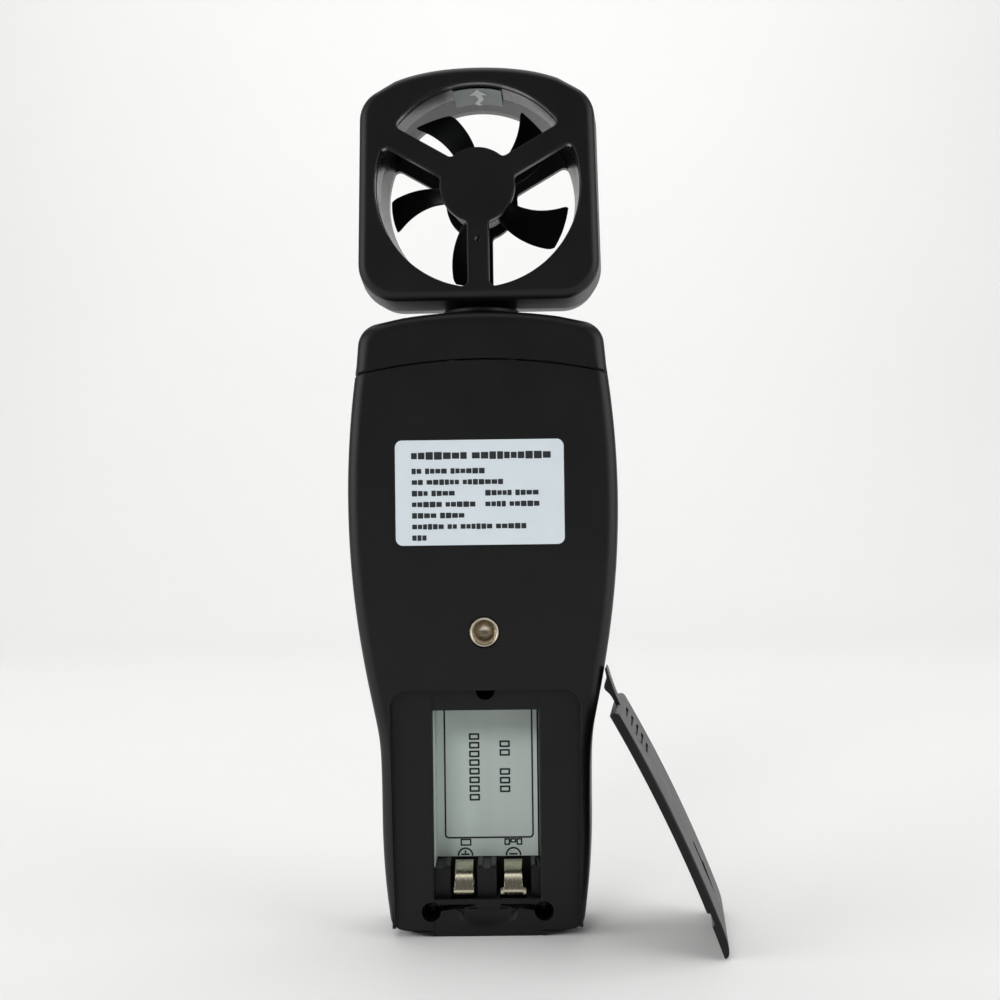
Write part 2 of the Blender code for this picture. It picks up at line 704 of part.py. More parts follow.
def make_head_half(name, side):
    """Half of the head; side is -1 for the back half and 1 for the front half."""
    black = black_plastic()
    face = side * HEAD_HALF_DEPTH
    parting = side * 0.5 * GAP
    levels = edge_levels(face, parting, HEAD_DRAFT, HEAD_EDGE, 3)
    half = loft(name, [layer(head_outline(lean + rounding), y) for y, lean, rounding in levels], black)
    levels = edge_levels(face - side * HEAD_WALL, parting, HEAD_DRAFT, HEAD_EDGE, 1)
    rings = [layer(head_outline(lean + rounding + HEAD_WALL), y) for y, lean, rounding in levels]
    rings.append(layer(head_outline(HEAD_WALL), -side * 2.0 * MM))
    hollow = loft("hollow", rings, black)
    far = -side * 4.0 * MM
    cut(hollow, rod("duct_tube", DUCT_TUBE_R, far, face, black, (0, DUCT_Z), steps=48))
    cut(half, hollow)
    inside = face - side * PLATE
    profile = ((0, inside), (DUCT_R, inside))
    if side > 0:
        profile = ((0, inside), (DUCT_RIM_R, inside), (DUCT_RIM_R, 9.0 * MM), (DUCT_R, 8.6 * MM))
    profile = profile + ((DUCT_R, far), (0, far))
    cut(half, turned("throat", profile, black, (0, 0, DUCT_Z), steps=48))
    mouth = DUCT_MOUTH_R if side < 0 else DUCT_RIM_R + 0.5 * MM
    for start, end in ((-90, 30), (30, 150), (150, 270)):
        outline = duct_sector(start, end, mouth)
        low, high = sorted((inside - side * 0.5 * MM, face + side * 2.0 * MM))
        cut(half, prism("opening", outline, low, high, black))
    for x, z in HEAD_SCREWS:
        spot = (x * MM, z * MM)
        low, high = sorted((side * 0.6 * MM, face - side * 1.2 * MM))
        join(half, rod("post", 2.6 * MM, low, high, black, spot, steps=16))
        if side > 0:
            cut(half, rod("hole", 1.25 * MM, -1.0 * MM, 13.0 * MM, black, spot, steps=16))
            cut(half, rod("hole", 2.3 * MM, 11.0 * MM, 16.0 * MM, black, spot, steps=16))
        else:
            cut(half, rod("hole", 1.15 * MM, -8.6 * MM, 1.0 * MM, black, spot, steps=16))
    boss_low, boss_high = sorted((inside + side * 0.5 * MM, side * 8.6 * MM))
    join(half, rod("boss", 3.6 * MM, boss_low, boss_high, black, (0, DUCT_Z), steps=20))
    low, high = sorted((side * 11.6 * MM, side * 8.0 * MM))
    cut(half, rod("pocket", 2.5 * MM, low, high, black, (0, DUCT_Z), steps=20))
    cut(half, rod("neck_hole", 4.3 * MM, 150.0 * MM, 164.0 * MM, black, along="Z", steps=20))
    if side < 0:
        hole = rod("hole", 0.75 * MM, -16.0 * MM, -10.0 * MM, black, (0, 178.2 * MM), steps=12)
        cut(half, hole)
    return half


def make_arrow_sticker():
    """Curved sticker on the crown of the duct wall."""
    film = material("arrow_film", (0.28, 0.3, 0.32), 0.4)
    outer = DUCT_R - GAP
    inner = outer - 0.2 * MM
    sweep = math.radians(14.0)
    angles = [math.radians(90) + sweep * (1 - i / 4.0) for i in range(9)]
    arc = [(outer * math.cos(a), outer * math.sin(a) + DUCT_Z) for a in angles]
    arc += [(inner * math.cos(a), inner * math.sin(a) + DUCT_Z) for a in reversed(angles)]
    return prism("arrow_sticker", arc, -9.6 * MM, 7.0 * MM, film)


def make_bearing(name, side):
    """Cup bearing in a spoke plate's boss."""
    brass = material("bearing_bronze", (0.5, 0.33, 0.15), 0.35, 1.0)
    back = side * 11.3 * MM
    mouth = side * 8.8 * MM
    bore = AXLE_R + GAP
    floor = side * 10.9 * MM
    rim = 2.2 * MM
    profile = ((0, back), (rim, back), (rim, mouth), (bore, mouth), (bore, floor), (0, floor))
    return turned(name, profile, brass, (0, 0, DUCT_Z), steps=20)


def make_neck():
    """Hollow swivel neck: spigot in the head, collar, and stem down through the bush."""
    profile = (
        (3.2 * MM, 147.9 * MM), (STEM_R, 147.9 * MM), (STEM_R, 159.9 * MM), (NECK_R, 160.0 * MM),
        (NECK_R, 161.4 * MM), (4.0 * MM, 161.6 * MM), (4.0 * MM, 163.7 * MM), (3.2 * MM, 163.7 * MM),
    )
    turned("swivel_neck", profile, black_plastic(), along="Z", closed=True)


def make_swivel_parts():
    """Bush in the cap's boss, friction washer, and the ring that keeps the stem in."""
    nylon = material("white_nylon", (0.75, 0.75, 0.72), 0.45)
    bore = STEM_R + GAP
    profile = (
        (bore, 151.0 * MM), (11.0 * MM, 151.0 * MM), (11.0 * MM, 152.2 * MM),
        (9.4 * MM, 152.2 * MM), (9.4 * MM, 159.2 * MM), (bore, 159.2 * MM),
    )
    turned("swivel_bush", profile, nylon, along="Z", closed=True)
    rubber = material("nitrile_rubber", (0.02, 0.02, 0.02), 0.7)
    tube("friction_washer", 9.6 * MM, bore, 150.1 * MM, 150.7 * MM, rubber, along="Z")
    tube("swivel_retainer", 9.2 * MM, bore, 148.4 * MM, 149.8 * MM, steel(), along="Z")


def make_head_fittings():
    """Speed pick-up on the lower spoke and the temperature bead in its hole."""
    grey = material("sensor_grey", (0.5, 0.5, 0.48), 0.5)
    low = (-2.4 * MM, -10.7 * MM, 179.4 * MM)
    high = (2.4 * MM, -9.3 * MM, 185.2 * MM)
    box("speed_pickup", low, high, grey)
    bead = material("thermistor_bead", (0.03, 0.03, 0.03), 0.3)
    rod("temperature_bead", 0.45 * MM, -13.6 * MM, -10.9 * MM, bead, (0, 178.2 * MM), steps=12)
    for i, (x, z) in enumerate(HEAD_SCREWS):
        make_screw(f"head_screw_{i + 1}", x * MM, z * MM, 13.3 * MM, 1.9 * MM, -8.0 * MM, 0.85 * MM, -1)


# ---------------------------------------------------------------- impeller

def blade_ring(fraction):
    """Blade section at a fraction of the way out: a thin arched strip across the air stream.

    Its leading edge, on the turning side, is the one nearer the back of the head.
    """
    radius = BLADE_ROOT_R + fraction * (TIP_R - BLADE_ROOT_R)
    half_across = (2.2 + 3.3 * fraction) * MM
    half_deep = (3.4 + 1.0 * fraction) * MM
    sweep = (-1.0 - 7.6 * fraction + 8.7 * fraction ** 2) * MM
    thick = (1.3 - 0.5 * fraction) * MM
    camber = 0.8 * MM
    slope = math.atan2(half_deep, half_across)
    half_chord = math.hypot(half_deep, half_across)
    upper, lower = [], []
    for i in range(7):
        s = 1 - i / 3.0
        rise = camber * (1 - s * s)
        half = 0.5 * thick * math.sqrt(max(0.06, 1 - s * s))
        upper.append((half_chord * s, rise + half))
        lower.append((half_chord * s, rise - half))
    points = []
    for along, off in upper + lower[::-1]:
        across = along * math.cos(slope) + off * math.sin(slope) + sweep
        depth = off * math.cos(slope) - along * math.sin(slope)
        turn = across / radius
        points.append((radius * math.cos(turn), depth, radius * math.sin(turn)))
    return points


def make_impeller():
    """Five-bladed impeller on a turned hub, with a pocket for the magnet."""
    black = black_plastic()
    profile = (
        (AXLE_R + GAP, -6.0 * MM), (7.2 * MM, -6.0 * MM), (ROTOR_R, -4.8 * MM), (ROTOR_R, 5.0 * MM),
        (7.4 * MM, 6.2 * MM), (3.0 * MM, 7.4 * MM), (AXLE_R + GAP, 7.4 * MM),
    )
    rotor = turned("impeller", profile, black, (0, 0, DUCT_Z), closed=True)
    for i in range(BLADES):
        turn = Matrix.Rotation(-math.radians(BLADE_FIRST + 360.0 / BLADES * i), 3, "Y")
        rings = []
        for step in range(7):
            ring = [turn @ Vector(p) + Vector((0, 0, DUCT_Z)) for p in blade_ring(step / 6.0)]
            rings.append(ring)
        join(rotor, loft("blade", rings, black))
    low = -4.2 * MM
    pocket = tube("pocket", 5.0 * MM, 2.4 * MM, -7.0 * MM, low, black, (0, DUCT_Z), steps=24)
    cut(rotor, pocket)
    magnet = material("ferrite", (0.03, 0.03, 0.035), 0.5, 0.3)
    tube("impeller_magnet", 4.7 * MM, 2.7 * MM, -6.4 * MM, low - GAP, magnet, (0, DUCT_Z))
    rod("impeller_axle", AXLE_R, -10.5 * MM, 10.5 * MM, steel(), (0, DUCT_Z), steps=16)


# ---------------------------------------------------------------- battery door

def door_frame():
    """World matrix of the leaning door: X across, Y out of its inner face, Z up its length."""
    lean = Matrix.Rotation(-DOOR_LEAN, 4, "X")
    yaw = Matrix.Rotation(DOOR_YAW, 4, "Z")
    return Matrix.Translation(DOOR_FOOT) @ yaw @ lean


def make_battery_door():
    """Door plate, thinner and rounded at its lower edge, with a hooked tongue at the top."""
    black = black_plastic()
    section = (
        (-0.6, 0.0), (-1.1, 0.3), (-1.6, 1.1), (-2.0, 2.4), (-2.2, 4.0), (-2.3, 6.0), (-2.3, 62.9),
        (-1.9, 63.8), (-1.2, 64.1), (0.0, 64.1), (0.0, 11.6), (-0.7, 11.2), (-0.7, 8.5), (0.0, 8.1),
        (0.0, 0.4), (-0.2, 0.0),
    )
    rings = []
    for x in (-DOOR_HALF, DOOR_HALF):
        rings.append([(x, y * MM, z * MM) for y, z in section])
    door = loft("battery_door", rings, black)
    hook = (
        (-2.2, 60.0), (-2.2, 66.0), (-2.6, 70.5), (-2.95, 73.0), (-2.9, 73.8), (-2.5, 73.2),
        (-1.9, 71.4), (-0.4, 69.6), (-0.2, 68.6), (-1.0, 66.2), (-1.0, 60.0),
    )
    rings = []
    for x in (-TONGUE_HALF, TONGUE_HALF):
        rings.append([(x, y * MM, z * MM) for y, z in hook])
    join(door, loft("tongue", rings, black))
    door.data.transform(door_frame())
    return door


# ---------------------------------------------------------------- assembly

def empty(name, place, turn=0.0, parent=None):
    obj = bpy.data.objects.new(name, None)
    bpy.context.scene.collection.objects.link(obj)
    obj.parent = parent
    obj.location = place
    obj.rotation_euler = (0, 0, turn)
    return obj


def hang(names, parent, at):
    """Parents objects to an empty; their meshes move so that each origin is on its axis."""
    for name in names:
        obj = bpy.data.objects[name]
        obj.data.transform(Matrix.Translation(-Vector(at)))
        obj.parent = parent


def main():
    clear_scene()
    make_back_shell()
    make_front_shell()
    make_top_cap()
    make_rating_label()
    make_tripod_insert()
    make_bay_sticker()
    for name, x in zip(("contact_plus", "contact_minus"), CONTACT_X):
        make_contact(name, x)
    make_housing_screws()
    make_display()
    make_keys()
    make_head_half("head_back_shell", -1)
    make_head_half("head_front_shell", 1)
    make_arrow_sticker()
    make_bearing("bearing_back", -1)
    make_bearing("bearing_front", 1)
    make_neck()
    make_swivel_parts()
    make_head_fittings()
    make_impeller()
    make_battery_door()
    swivel = empty("swivel_axis", (0, 0, 0), HEAD_TURN)
    axle = empty("impeller_axis", (0, 0, DUCT_Z), parent=swivel)
    head = ["head_back_shell", "head_front_shell", "arrow_sticker", "bearing_back", "bearing_front"]
    head += ["swivel_neck", "swivel_retainer", "speed_pickup", "temperature_bead"]
    head += [f"head_screw_{i + 1}" for i in range(len(HEAD_SCREWS))]
    hang(head, swivel, (0, 0, 0))
    hang(["impeller", "impeller_axle", "impeller_magnet"], axle, (0, 0, DUCT_Z))
    pivot = door_frame() @ Vector((0, 0, DOOR_PIVOT_UP))
    hang(["battery_door"], empty("door_foot", pivot), pivot)


main()
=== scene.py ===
# %% [markdown]
# # A handheld weather meter, seen from its battery side
# The real thing is a black moulded case with a swivelling ring on top. Inside the ring a
# five-bladed impeller turns in the wind. The battery door is off and leans on the case.
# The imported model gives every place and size, and this lesson builds the fine surfaces on it.

import math

import bmesh
import bpy
import numpy as np
from mathutils import Matrix, Vector


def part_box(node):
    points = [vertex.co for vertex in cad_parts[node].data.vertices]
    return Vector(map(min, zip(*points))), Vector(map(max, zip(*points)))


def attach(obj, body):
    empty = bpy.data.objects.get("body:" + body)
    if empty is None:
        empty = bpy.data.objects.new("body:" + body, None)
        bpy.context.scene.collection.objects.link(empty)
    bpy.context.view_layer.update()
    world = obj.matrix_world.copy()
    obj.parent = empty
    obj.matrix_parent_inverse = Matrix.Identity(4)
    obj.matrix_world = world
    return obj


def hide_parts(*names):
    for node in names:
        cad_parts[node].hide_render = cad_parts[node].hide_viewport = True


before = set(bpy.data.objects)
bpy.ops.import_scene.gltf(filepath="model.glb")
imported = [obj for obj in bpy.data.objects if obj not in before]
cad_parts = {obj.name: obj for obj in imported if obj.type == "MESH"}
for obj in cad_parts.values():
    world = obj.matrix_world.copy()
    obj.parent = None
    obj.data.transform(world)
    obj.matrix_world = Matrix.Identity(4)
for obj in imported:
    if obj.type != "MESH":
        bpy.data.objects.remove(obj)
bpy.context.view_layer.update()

# %% [markdown]
# ## Working in millimetres
# The case is full of half-millimetre gaps, so lengths here are plain numbers in millimetres.
# Each piece is scaled to metres once, when it is finished. Y = -15 is the back of the case,
# Y = 15 is the display side, and Z runs up from the table.

# %% Units and sizes that several pieces share
MM = 0.001
GAP = 0.3
BACK_Y, FRONT_Y, PARTING_Y = -15.0, 15.0, 3.0
DUCT_Z = 192.1
HEAD_TURN = math.radians(-1.8)


def box_mm(node):
    """Lowest and highest corner of a CAD node, in millimetres."""
    low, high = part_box(node)
    return np.array(low) / MM, np.array(high) / MM


case_low, case_high = box_mm("back_shell")
print("back shell spans", np.round(case_high - case_low, 1), "mm")

# %% [markdown]
# ## Grids of points
# A surface is a grid: rows along one direction, columns along the other. These helpers turn
# a grid of points into a mesh, close its ends and make every face look outwards.

# %% Mesh helpers


def grid_cells(rows, columns, wrap_rows=False, wrap_columns=False):
    """Corner numbers of each cell of a grid; a wrapped side joins its last line to its first."""
    index = np.arange(rows * columns).reshape(rows, columns)
    if wrap_rows:
        index = np.vstack([index, index[:1]])
    if wrap_columns:
        index = np.hstack([index, index[:, :1]])
    corners = [index[:-1, :-1], index[:-1, 1:], index[1:, 1:], index[1:, :-1]]
    return np.stack(corners, axis=-1).reshape(-1, 4)


def solid(name, points, faces):
    """A mesh object in millimetres, with its doubles merged and its faces turned outwards."""
    mesh = bpy.data.meshes.new(name)
    mesh.from_pydata(np.asarray(points, float).tolist(), [], faces)
    shape = bmesh.new()
    shape.from_mesh(mesh)
    bmesh.ops.remove_doubles(shape, verts=shape.verts, dist=1e-4)
    bmesh.ops.recalc_face_normals(shape, faces=shape.faces)
    shape.to_mesh(mesh)
    shape.free()
    piece = bpy.data.objects.new(name, mesh)
    bpy.context.scene.collection.objects.link(piece)
    return piece


def loft(name, rings):
    """A solid through rings with equal point counts: a grid wrapped one way, with capped ends."""
    rings = np.asarray(rings, float)
    levels, count = rings.shape[:2]
    faces = grid_cells(levels, count, wrap_columns=True).tolist()
    faces.append(list(range(count))[::-1])
    faces.append(list(range((levels - 1) * count, levels * count)))
    return solid(name, rings.reshape(-1, 3), faces)


def layer(outline, y):
    """An (x, z) outline set at one depth."""
    outline = np.asarray(outline, float)
    return np.column_stack([outline[:, 0], np.full(len(outline), y), outline[:, 1]])


def prism(name, outline, y_low, y_high):
    """An outline carried straight along Y."""
    return loft(name, [layer(outline, y_low), layer(outline, y_high)])


def block(name, low, high):
    """A rectangular block, used as a cutter or as part of a larger piece."""
    outline = [(low[0], low[2]), (high[0], low[2]), (high[0], high[2]), (low[0], high[2])]
    return prism(name, outline, low[1], high[1])


def turned(name, profile, centre=(0, 0, 0), along="Y", steps=64, closed=False):
    """A turned piece: each (radius, height) of the profile is carried once round the axis."""
    profile = np.asarray(profile, float)
    angle = np.linspace(0, 2 * np.pi, steps, endpoint=False)
    radius, height = profile[:, :1], profile[:, 1:]
    flat = np.zeros((len(profile), steps))
    x, y, z = radius * np.cos(angle), height + flat, radius * np.sin(angle)
    if along == "Z":
        y, z = radius * np.sin(angle), height + flat
    points = np.stack([x, y, z], axis=-1).reshape(-1, 3) + np.array(centre, float)
    faces = grid_cells(len(profile), steps, closed, True).tolist()
    return solid(name, points, faces)


def rod(name, radius, start, end, centre=(0, 0), along="Y", steps=48):
    """A round bar between two stations of its axis."""
    place = (centre[0], 0, centre[1]) if along == "Y" else (centre[0], centre[1], 0)
    return turned(name, [(0, start), (radius, start), (radius, end), (0, end)], place, along, steps)


# %% [markdown]
# ## Rounded outlines
# Moulded parts have no sharp corners. A corner is rounded by an arc that touches both of its
# sides, and the arc is a blend between the directions of its two ends.

# %% Outline helpers


def unit(vector):
    return vector / np.linalg.norm(vector)


def arc_between(centre, first, last, steps=12):
    """Arc about a centre: the two spokes are blended so that their length stays the same."""
    centre, first, last = (np.array(p, float) for p in (centre, first, last))
    one, two = first - centre, last - centre
    sweep = math.acos(float(np.clip(unit(one) @ unit(two), -1, 1)))
    t = np.linspace(0, 1, steps + 1)[:, None]
    return centre + (np.sin((1 - t) * sweep) * one + np.sin(t * sweep) * two) / math.sin(sweep)


def round_corner(before, corner, after, radius, steps=12):
    """Arc touching both sides of a corner; its centre is on the line that halves the corner."""
    before, corner, after = (np.array(p, float) for p in (before, corner, after))
    back, ahead = unit(before - corner), unit(after - corner)
    half = 0.5 * math.acos(float(np.clip(back @ ahead, -1, 1)))
    centre = corner + unit(back + ahead) * radius / math.sin(half)
    reach = radius / math.tan(half)
    return arc_between(centre, corner + back * reach, corner + ahead * reach, steps)


def polygon(corners, steps=8):
    """Closed outline through (x, z, radius) corners, each rounded by its own radius."""
    corners = np.array(corners, float)
    places = corners[:, :2]
    runs = []
    for before, here, after, radius in zip(
        np.roll(places, 1, 0), places, np.roll(places, -1, 0), corners[:, 2]
    ):
        runs.append(round_corner(before, here, after, radius, steps) if radius else here[None])
    return np.concatenate(runs)


def rounded_rect(half_x, half_z, radius, centre_x=0.0, centre_z=0.0, steps=8):
    """Rectangle with rounded corners."""
    signs = ((-1, -1), (1, -1), (1, 1), (-1, 1))
    corners = [(centre_x + i * half_x, centre_z + j * half_z, radius) for i, j in signs]
    return polygon(corners, steps)


def mirrored(right_half):
    """Full outline from its right half, which runs from the bottom to the top."""
    left = right_half[::-1] * (-1, 1)
    return np.concatenate([right_half, left])


# %% [markdown]
# ## Cutting and joining
# Pockets, windows and screw holes meet curved walls at odd places, which a grid can't follow.
# Those are cut with Boolean modifiers, and the cutters are grids like everything else. A
# cutter that flares where it leaves the face gives the hole a rounded rim.

# %% Boolean helpers


def merged(name, pieces):
    """One mesh from several that don't touch each other, so that one cut serves for all."""
    shape = bmesh.new()
    for piece in pieces:
        shape.from_mesh(piece.data)
        bpy.data.objects.remove(piece, do_unlink=True)
    mesh = bpy.data.meshes.new(name)
    shape.to_mesh(mesh)
    shape.free()
    made = bpy.data.objects.new(name, mesh)
    bpy.context.scene.collection.objects.link(made)
    return made


def combine(piece, others, operation):
    """Applies one Boolean for each of the others in turn, and removes them."""
    for other in others:
        modifier = piece.modifiers.new(other.name, "BOOLEAN")
        modifier.operation = operation
        modifier.solver = "EXACT"
        modifier.object = other
        graph = bpy.context.evaluated_depsgraph_get()
        mesh = bpy.data.meshes.new_from_object(piece.evaluated_get(graph))
        piece.modifiers.clear()
        piece.data = mesh
        bpy.data.objects.remove(other, do_unlink=True)
    shape = bmesh.new()
    shape.from_mesh(piece.data)
    bmesh.ops.remove_doubles(shape, verts=shape.verts, dist=1e-3)
    bmesh.ops.dissolve_degenerate(shape, dist=1e-3, edges=shape.edges)
    shape.to_mesh(piece.data)
    shape.free()
    return piece


def cut(piece, *others):
    return combine(piece, others, "DIFFERENCE")


def join(piece, *others):
    return combine(piece, others, "UNION")


def rim_cutter(name, outline_at, deep, face, rim):
    """Cutter whose outline grows along a quarter arc of radius rim as it reaches the face.

    outline_at(grow) gives the outline, and every grow has the same number of points.
    """
    side = 1.0 if face > deep else -1.0
    angle = np.radians(np.linspace(0, 70, 6))
    grow = rim * (1 - np.cos(angle))
    depth = face - side * rim * (1 - np.sin(angle))
    past = 0.05
    last = grow[-1] + (side * (face - depth[-1]) + past) * math.tan(angle[-1])
    grow = np.concatenate([[0.0], grow, [last, last]])
    depth = np.concatenate([[deep], depth, [face + side * past, face + side * 3.0]])
    return loft(name, [layer(outline_at(g), y) for g, y in zip(grow, depth)])


# %% [markdown]
# ## Materials: one function for colour, one for nodes
# Colours are written as the sRGB values that a screen shows and are turned to linear light
# once. One small function adds a node, sets it up and links it, so that each finish below
# reads like a recipe.

# %% Colour and node helpers


def linear(hex_colour):
    """Linear RGBA of an sRGB hex colour: the sRGB curve undone for each channel."""
    parts = np.array([int(hex_colour[i:i + 2], 16) for i in (1, 3, 5)]) / 255.0
    low = parts / 12.92
    high = ((parts + 0.055) / 1.055) ** 2.4
    return (*np.where(parts <= 0.04045, low, high).tolist(), 1.0)


def add(tree, kind, inputs=(), **settings):
    """A node with its settings; an input given as a socket is linked, any other is a value."""
    made = tree.nodes.new(kind)
    for key, value in settings.items():
        setattr(made, key, value)
    for key, value in dict(inputs).items():
        if isinstance(value, bpy.types.NodeSocket):
            tree.links.new(value, made.inputs[key])
        else:
            made.inputs[key].default_value = value
    return made


def start_finish(name, **values):
    """A new material with its shader's own sockets set, and the Object coordinates."""
    finish = bpy.data.materials.new(name)
    finish.use_nodes = True
    tree = finish.node_tree
    shader = tree.nodes["Principled BSDF"]
    for key, value in values.items():
        shader.inputs[key.replace("_", " ")].default_value = value
    place = add(tree, "ShaderNodeTexCoord").outputs["Object"]
    return finish, tree, shader, place


def per_mm(size):
    """Scale of a pattern whose features are this many millimetres across."""
    return 1.0 / (size * MM)


def noise(tree, place, size, detail=2.0, roughness=0.5):
    """Noise whose blobs are about size millimetres across."""
    inputs = {"Vector": place, "Scale": per_mm(size), "Detail": detail, "Roughness": roughness}
    return add(tree, "ShaderNodeTexNoise", inputs).outputs["Fac"]


def spread(tree, value, low, high, source=(0.3, 0.7)):
    """A value moved from one range to another."""
    inputs = {
        "Value": value, "From Min": source[0], "From Max": source[1],
        "To Min": low, "To Max": high,
    }
    return add(tree, "ShaderNodeMapRange", inputs).outputs["Result"]


def two_colours(tree, value, one, two):
    """A colour that moves from one to the other as value goes from 0 to 1."""
    mix = add(tree, "ShaderNodeMix", {"Factor": value}, data_type="RGBA")
    mix.inputs[6].default_value = linear(one)
    mix.inputs[7].default_value = linear(two)
    return mix.outputs[2]


def link_shader(tree, shader, colour, roughness, normal):
    """Links the three sockets that every finish here drives."""
    tree.links.new(colour, shader.inputs["Base Color"])
    tree.links.new(roughness, shader.inputs["Roughness"])
    tree.links.new(normal, shader.inputs["Normal"])


def bump(tree, height, depth, normal=None):
    """Bump of a pattern whose full height is depth millimetres."""
    inputs = {"Height": height, "Distance": depth * MM, "Strength": 1.0}
    if normal is not None:
        inputs["Normal"] = normal
    return add(tree, "ShaderNodeBump", inputs).outputs["Normal"]


# %% [markdown]
# ## Black ABS from a spark-eroded mould
# The case is injection-moulded ABS. The mould is spark-eroded, which leaves a fine even
# grain of about a quarter of a millimetre: the black looks silky, and a bright wall shows in
# it only as a soft band along the rounded edges. The grain is drawn at 0.45 mm, a little
# coarse, so that it shows at all. A Bevel node eases the edges that are too small to model.

# %% The black plastics
EASED_EDGE = 0.22


def moulded_abs(name, light, dark, gloss, grain_depth):
    """Grained ABS: fine grain in the bump, slow drift in roughness and in the black itself."""
    finish, tree, shader, place = start_finish(name, IOR=1.53, Specular_IOR_Level=0.27)
    grain = noise(tree, place, 0.45, 2.0, 0.6)
    drift = noise(tree, place, 14.0, 3.0)
    colour, rough = two_colours(tree, drift, dark, light), spread(tree, drift, *gloss)
    eased = add(tree, "ShaderNodeBevel", {"Radius": EASED_EDGE * MM}, samples=4).outputs["Normal"]
    link_shader(tree, shader, colour, rough, bump(tree, grain, grain_depth, eased))
    return finish


case_black = moulded_abs("spark_eroded_black_abs", "#0e0f0f", "#0a0b0b", (0.38, 0.44), 0.010)
duct_black = moulded_abs("polished_duct_black_abs", "#0c0d0d", "#090a0a", (0.24, 0.30), 0.002)
blade_black = moulded_abs("moulded_black_blade_abs", "#0f1010", "#0b0c0c", (0.32, 0.40), 0.006)
print("black plastics ready")

# %% [markdown]
# ## Films, inks and metals
# The label is a silvery polyester film, pale blue-grey, with a satin overlaminate. The film
# in the battery bay is metallised and brushed-looking, so it has faint upright streaks. The
# contacts and the tripod insert are nickel plated, the screws are blackened steel, and the
# axle and the swivel's retaining ring are zinc plated.

# %% Printed films


def printed_film(name, light, dark, streak, roughness, metallic):
    """Satin film: slow drift between two tints, stretched along Z by streak."""
    finish, tree, shader, place = start_finish(name, IOR=1.45, Metallic=metallic)
    turn = {"Vector": place, "Scale": (1.0, 1.0, 1.0 / streak)}
    along = add(tree, "ShaderNodeMapping", turn).outputs["Vector"]
    drift = noise(tree, along, 7.0, 2.0)
    fine = noise(tree, along, 0.6, 2.0)
    colour = two_colours(tree, drift, dark, light)
    rough = spread(tree, fine, roughness - 0.05, roughness + 0.05)
    link_shader(tree, shader, colour, rough, bump(tree, fine, 0.002))
    return finish


label_silver = printed_film("silver_polyester_label", "#d3dce1", "#c9d3d9", 1.0, 0.38, 0.0)
bay_silver = printed_film("metallised_bay_film", "#e2ede6", "#d2dfd8", 8.0, 0.42, 0.0)
arrow_grey = printed_film("grey_vinyl_sticker", "#8d9794", "#858f8c", 1.0, 0.5, 0.0)
arrow_light = printed_film("light_grey_screen_ink", "#f4f8f8", "#edf2f2", 1.0, 0.55, 0.0)
print_ink = printed_film("black_screen_ink", "#23282b", "#1c2023", 1.0, 0.5, 0.0)

# %% Plated metals
NO_LAY = (1.0, 1.0, 1.0)


def plated(name, light, dark, roughness, lay, depth=0.003):
    """Plated metal: fine brushing along the given stretch, and slow tarnish in the tint."""
    finish, tree, shader, place = start_finish(name, Metallic=1.0)
    stretch = {"Vector": place, "Scale": lay}
    along = add(tree, "ShaderNodeMapping", stretch).outputs["Vector"]
    brushed = noise(tree, along, 0.25, 3.0)
    tarnish = noise(tree, place, 3.0, 3.0)
    colour = two_colours(tree, tarnish, dark, light)
    rough = spread(tree, brushed, roughness - 0.06, roughness + 0.08)
    link_shader(tree, shader, colour, rough, bump(tree, brushed, depth))
    return finish


contact_nickel = plated(
    "nickel_plated_spring_steel", "#dcd5c0", "#cbc3ab", 0.22, (1.0, 0.1, 0.1), 0.0006
)
insert_nickel = plated("nickel_plated_brass", "#e6ddcc", "#d0c6b2", 0.2, NO_LAY)
screw_black = plated("oxide_blackened_steel", "#3b3c3e", "#2c2d2f", 0.45, NO_LAY)
screw_steel = plated("zinc_plated_steel", "#c9cbce", "#aeb1b5", 0.3, NO_LAY)
bearing_bronze = plated("sintered_bronze", "#b5885a", "#966c42", 0.38, NO_LAY)

# %% [markdown]
# ## The plain finishes
# What is left is rubber, nylon, glass and the circuit board. Each has the same recipe: two
# close tints that drift into each other, a roughness, and a fine bump of the right size.

# %% Rubbers, nylons and board


def plain_finish(name, light, dark, roughness, ior, grain, depth, **values):
    """A finish with a drift between two tints and one fine grain."""
    finish, tree, shader, place = start_finish(name, IOR=ior, **values)
    drift = noise(tree, place, 5.0, 2.0)
    fine = noise(tree, place, grain, 2.0)
    colour = two_colours(tree, drift, dark, light)
    rough = spread(tree, fine, roughness - 0.04, roughness + 0.04)
    link_shader(tree, shader, colour, rough, bump(tree, fine, depth))
    return finish


key_rubber = plain_finish("moulded_silicone_rubber", "#2a2b2c", "#232425", 0.62, 1.41, 0.3, 0.006)
key_grey = plain_finish("grey_silicone_key", "#8b9092", "#7f8486", 0.55, 1.41, 0.3, 0.006)
white_nylon = plain_finish("moulded_white_nylon", "#e2e0d8", "#d6d4cb", 0.45, 1.53, 0.5, 0.004)
washer_rubber = plain_finish("nitrile_rubber", "#222222", "#1a1a1a", 0.7, 1.52, 0.3, 0.01)
carrier_white = plain_finish(
    "moulded_white_polycarbonate", "#e8e8e4", "#dededa", 0.4, 1.58, 0.5, 0.004
)
zebra_pink = plain_finish("layered_connector_rubber", "#6b5a66", "#584954", 0.6, 1.41, 0.2, 0.01)
board_green = plain_finish("glass_epoxy_board", "#2f6b3f", "#245733", 0.4, 1.5, 0.4, 0.01)
buzzer_black = plain_finish("moulded_buzzer_case", "#222324", "#1a1b1c", 0.35, 1.5, 0.4, 0.004)
ferrite_grey = plain_finish("sintered_ferrite", "#45464a", "#38393c", 0.5, 2.3, 0.2, 0.01)
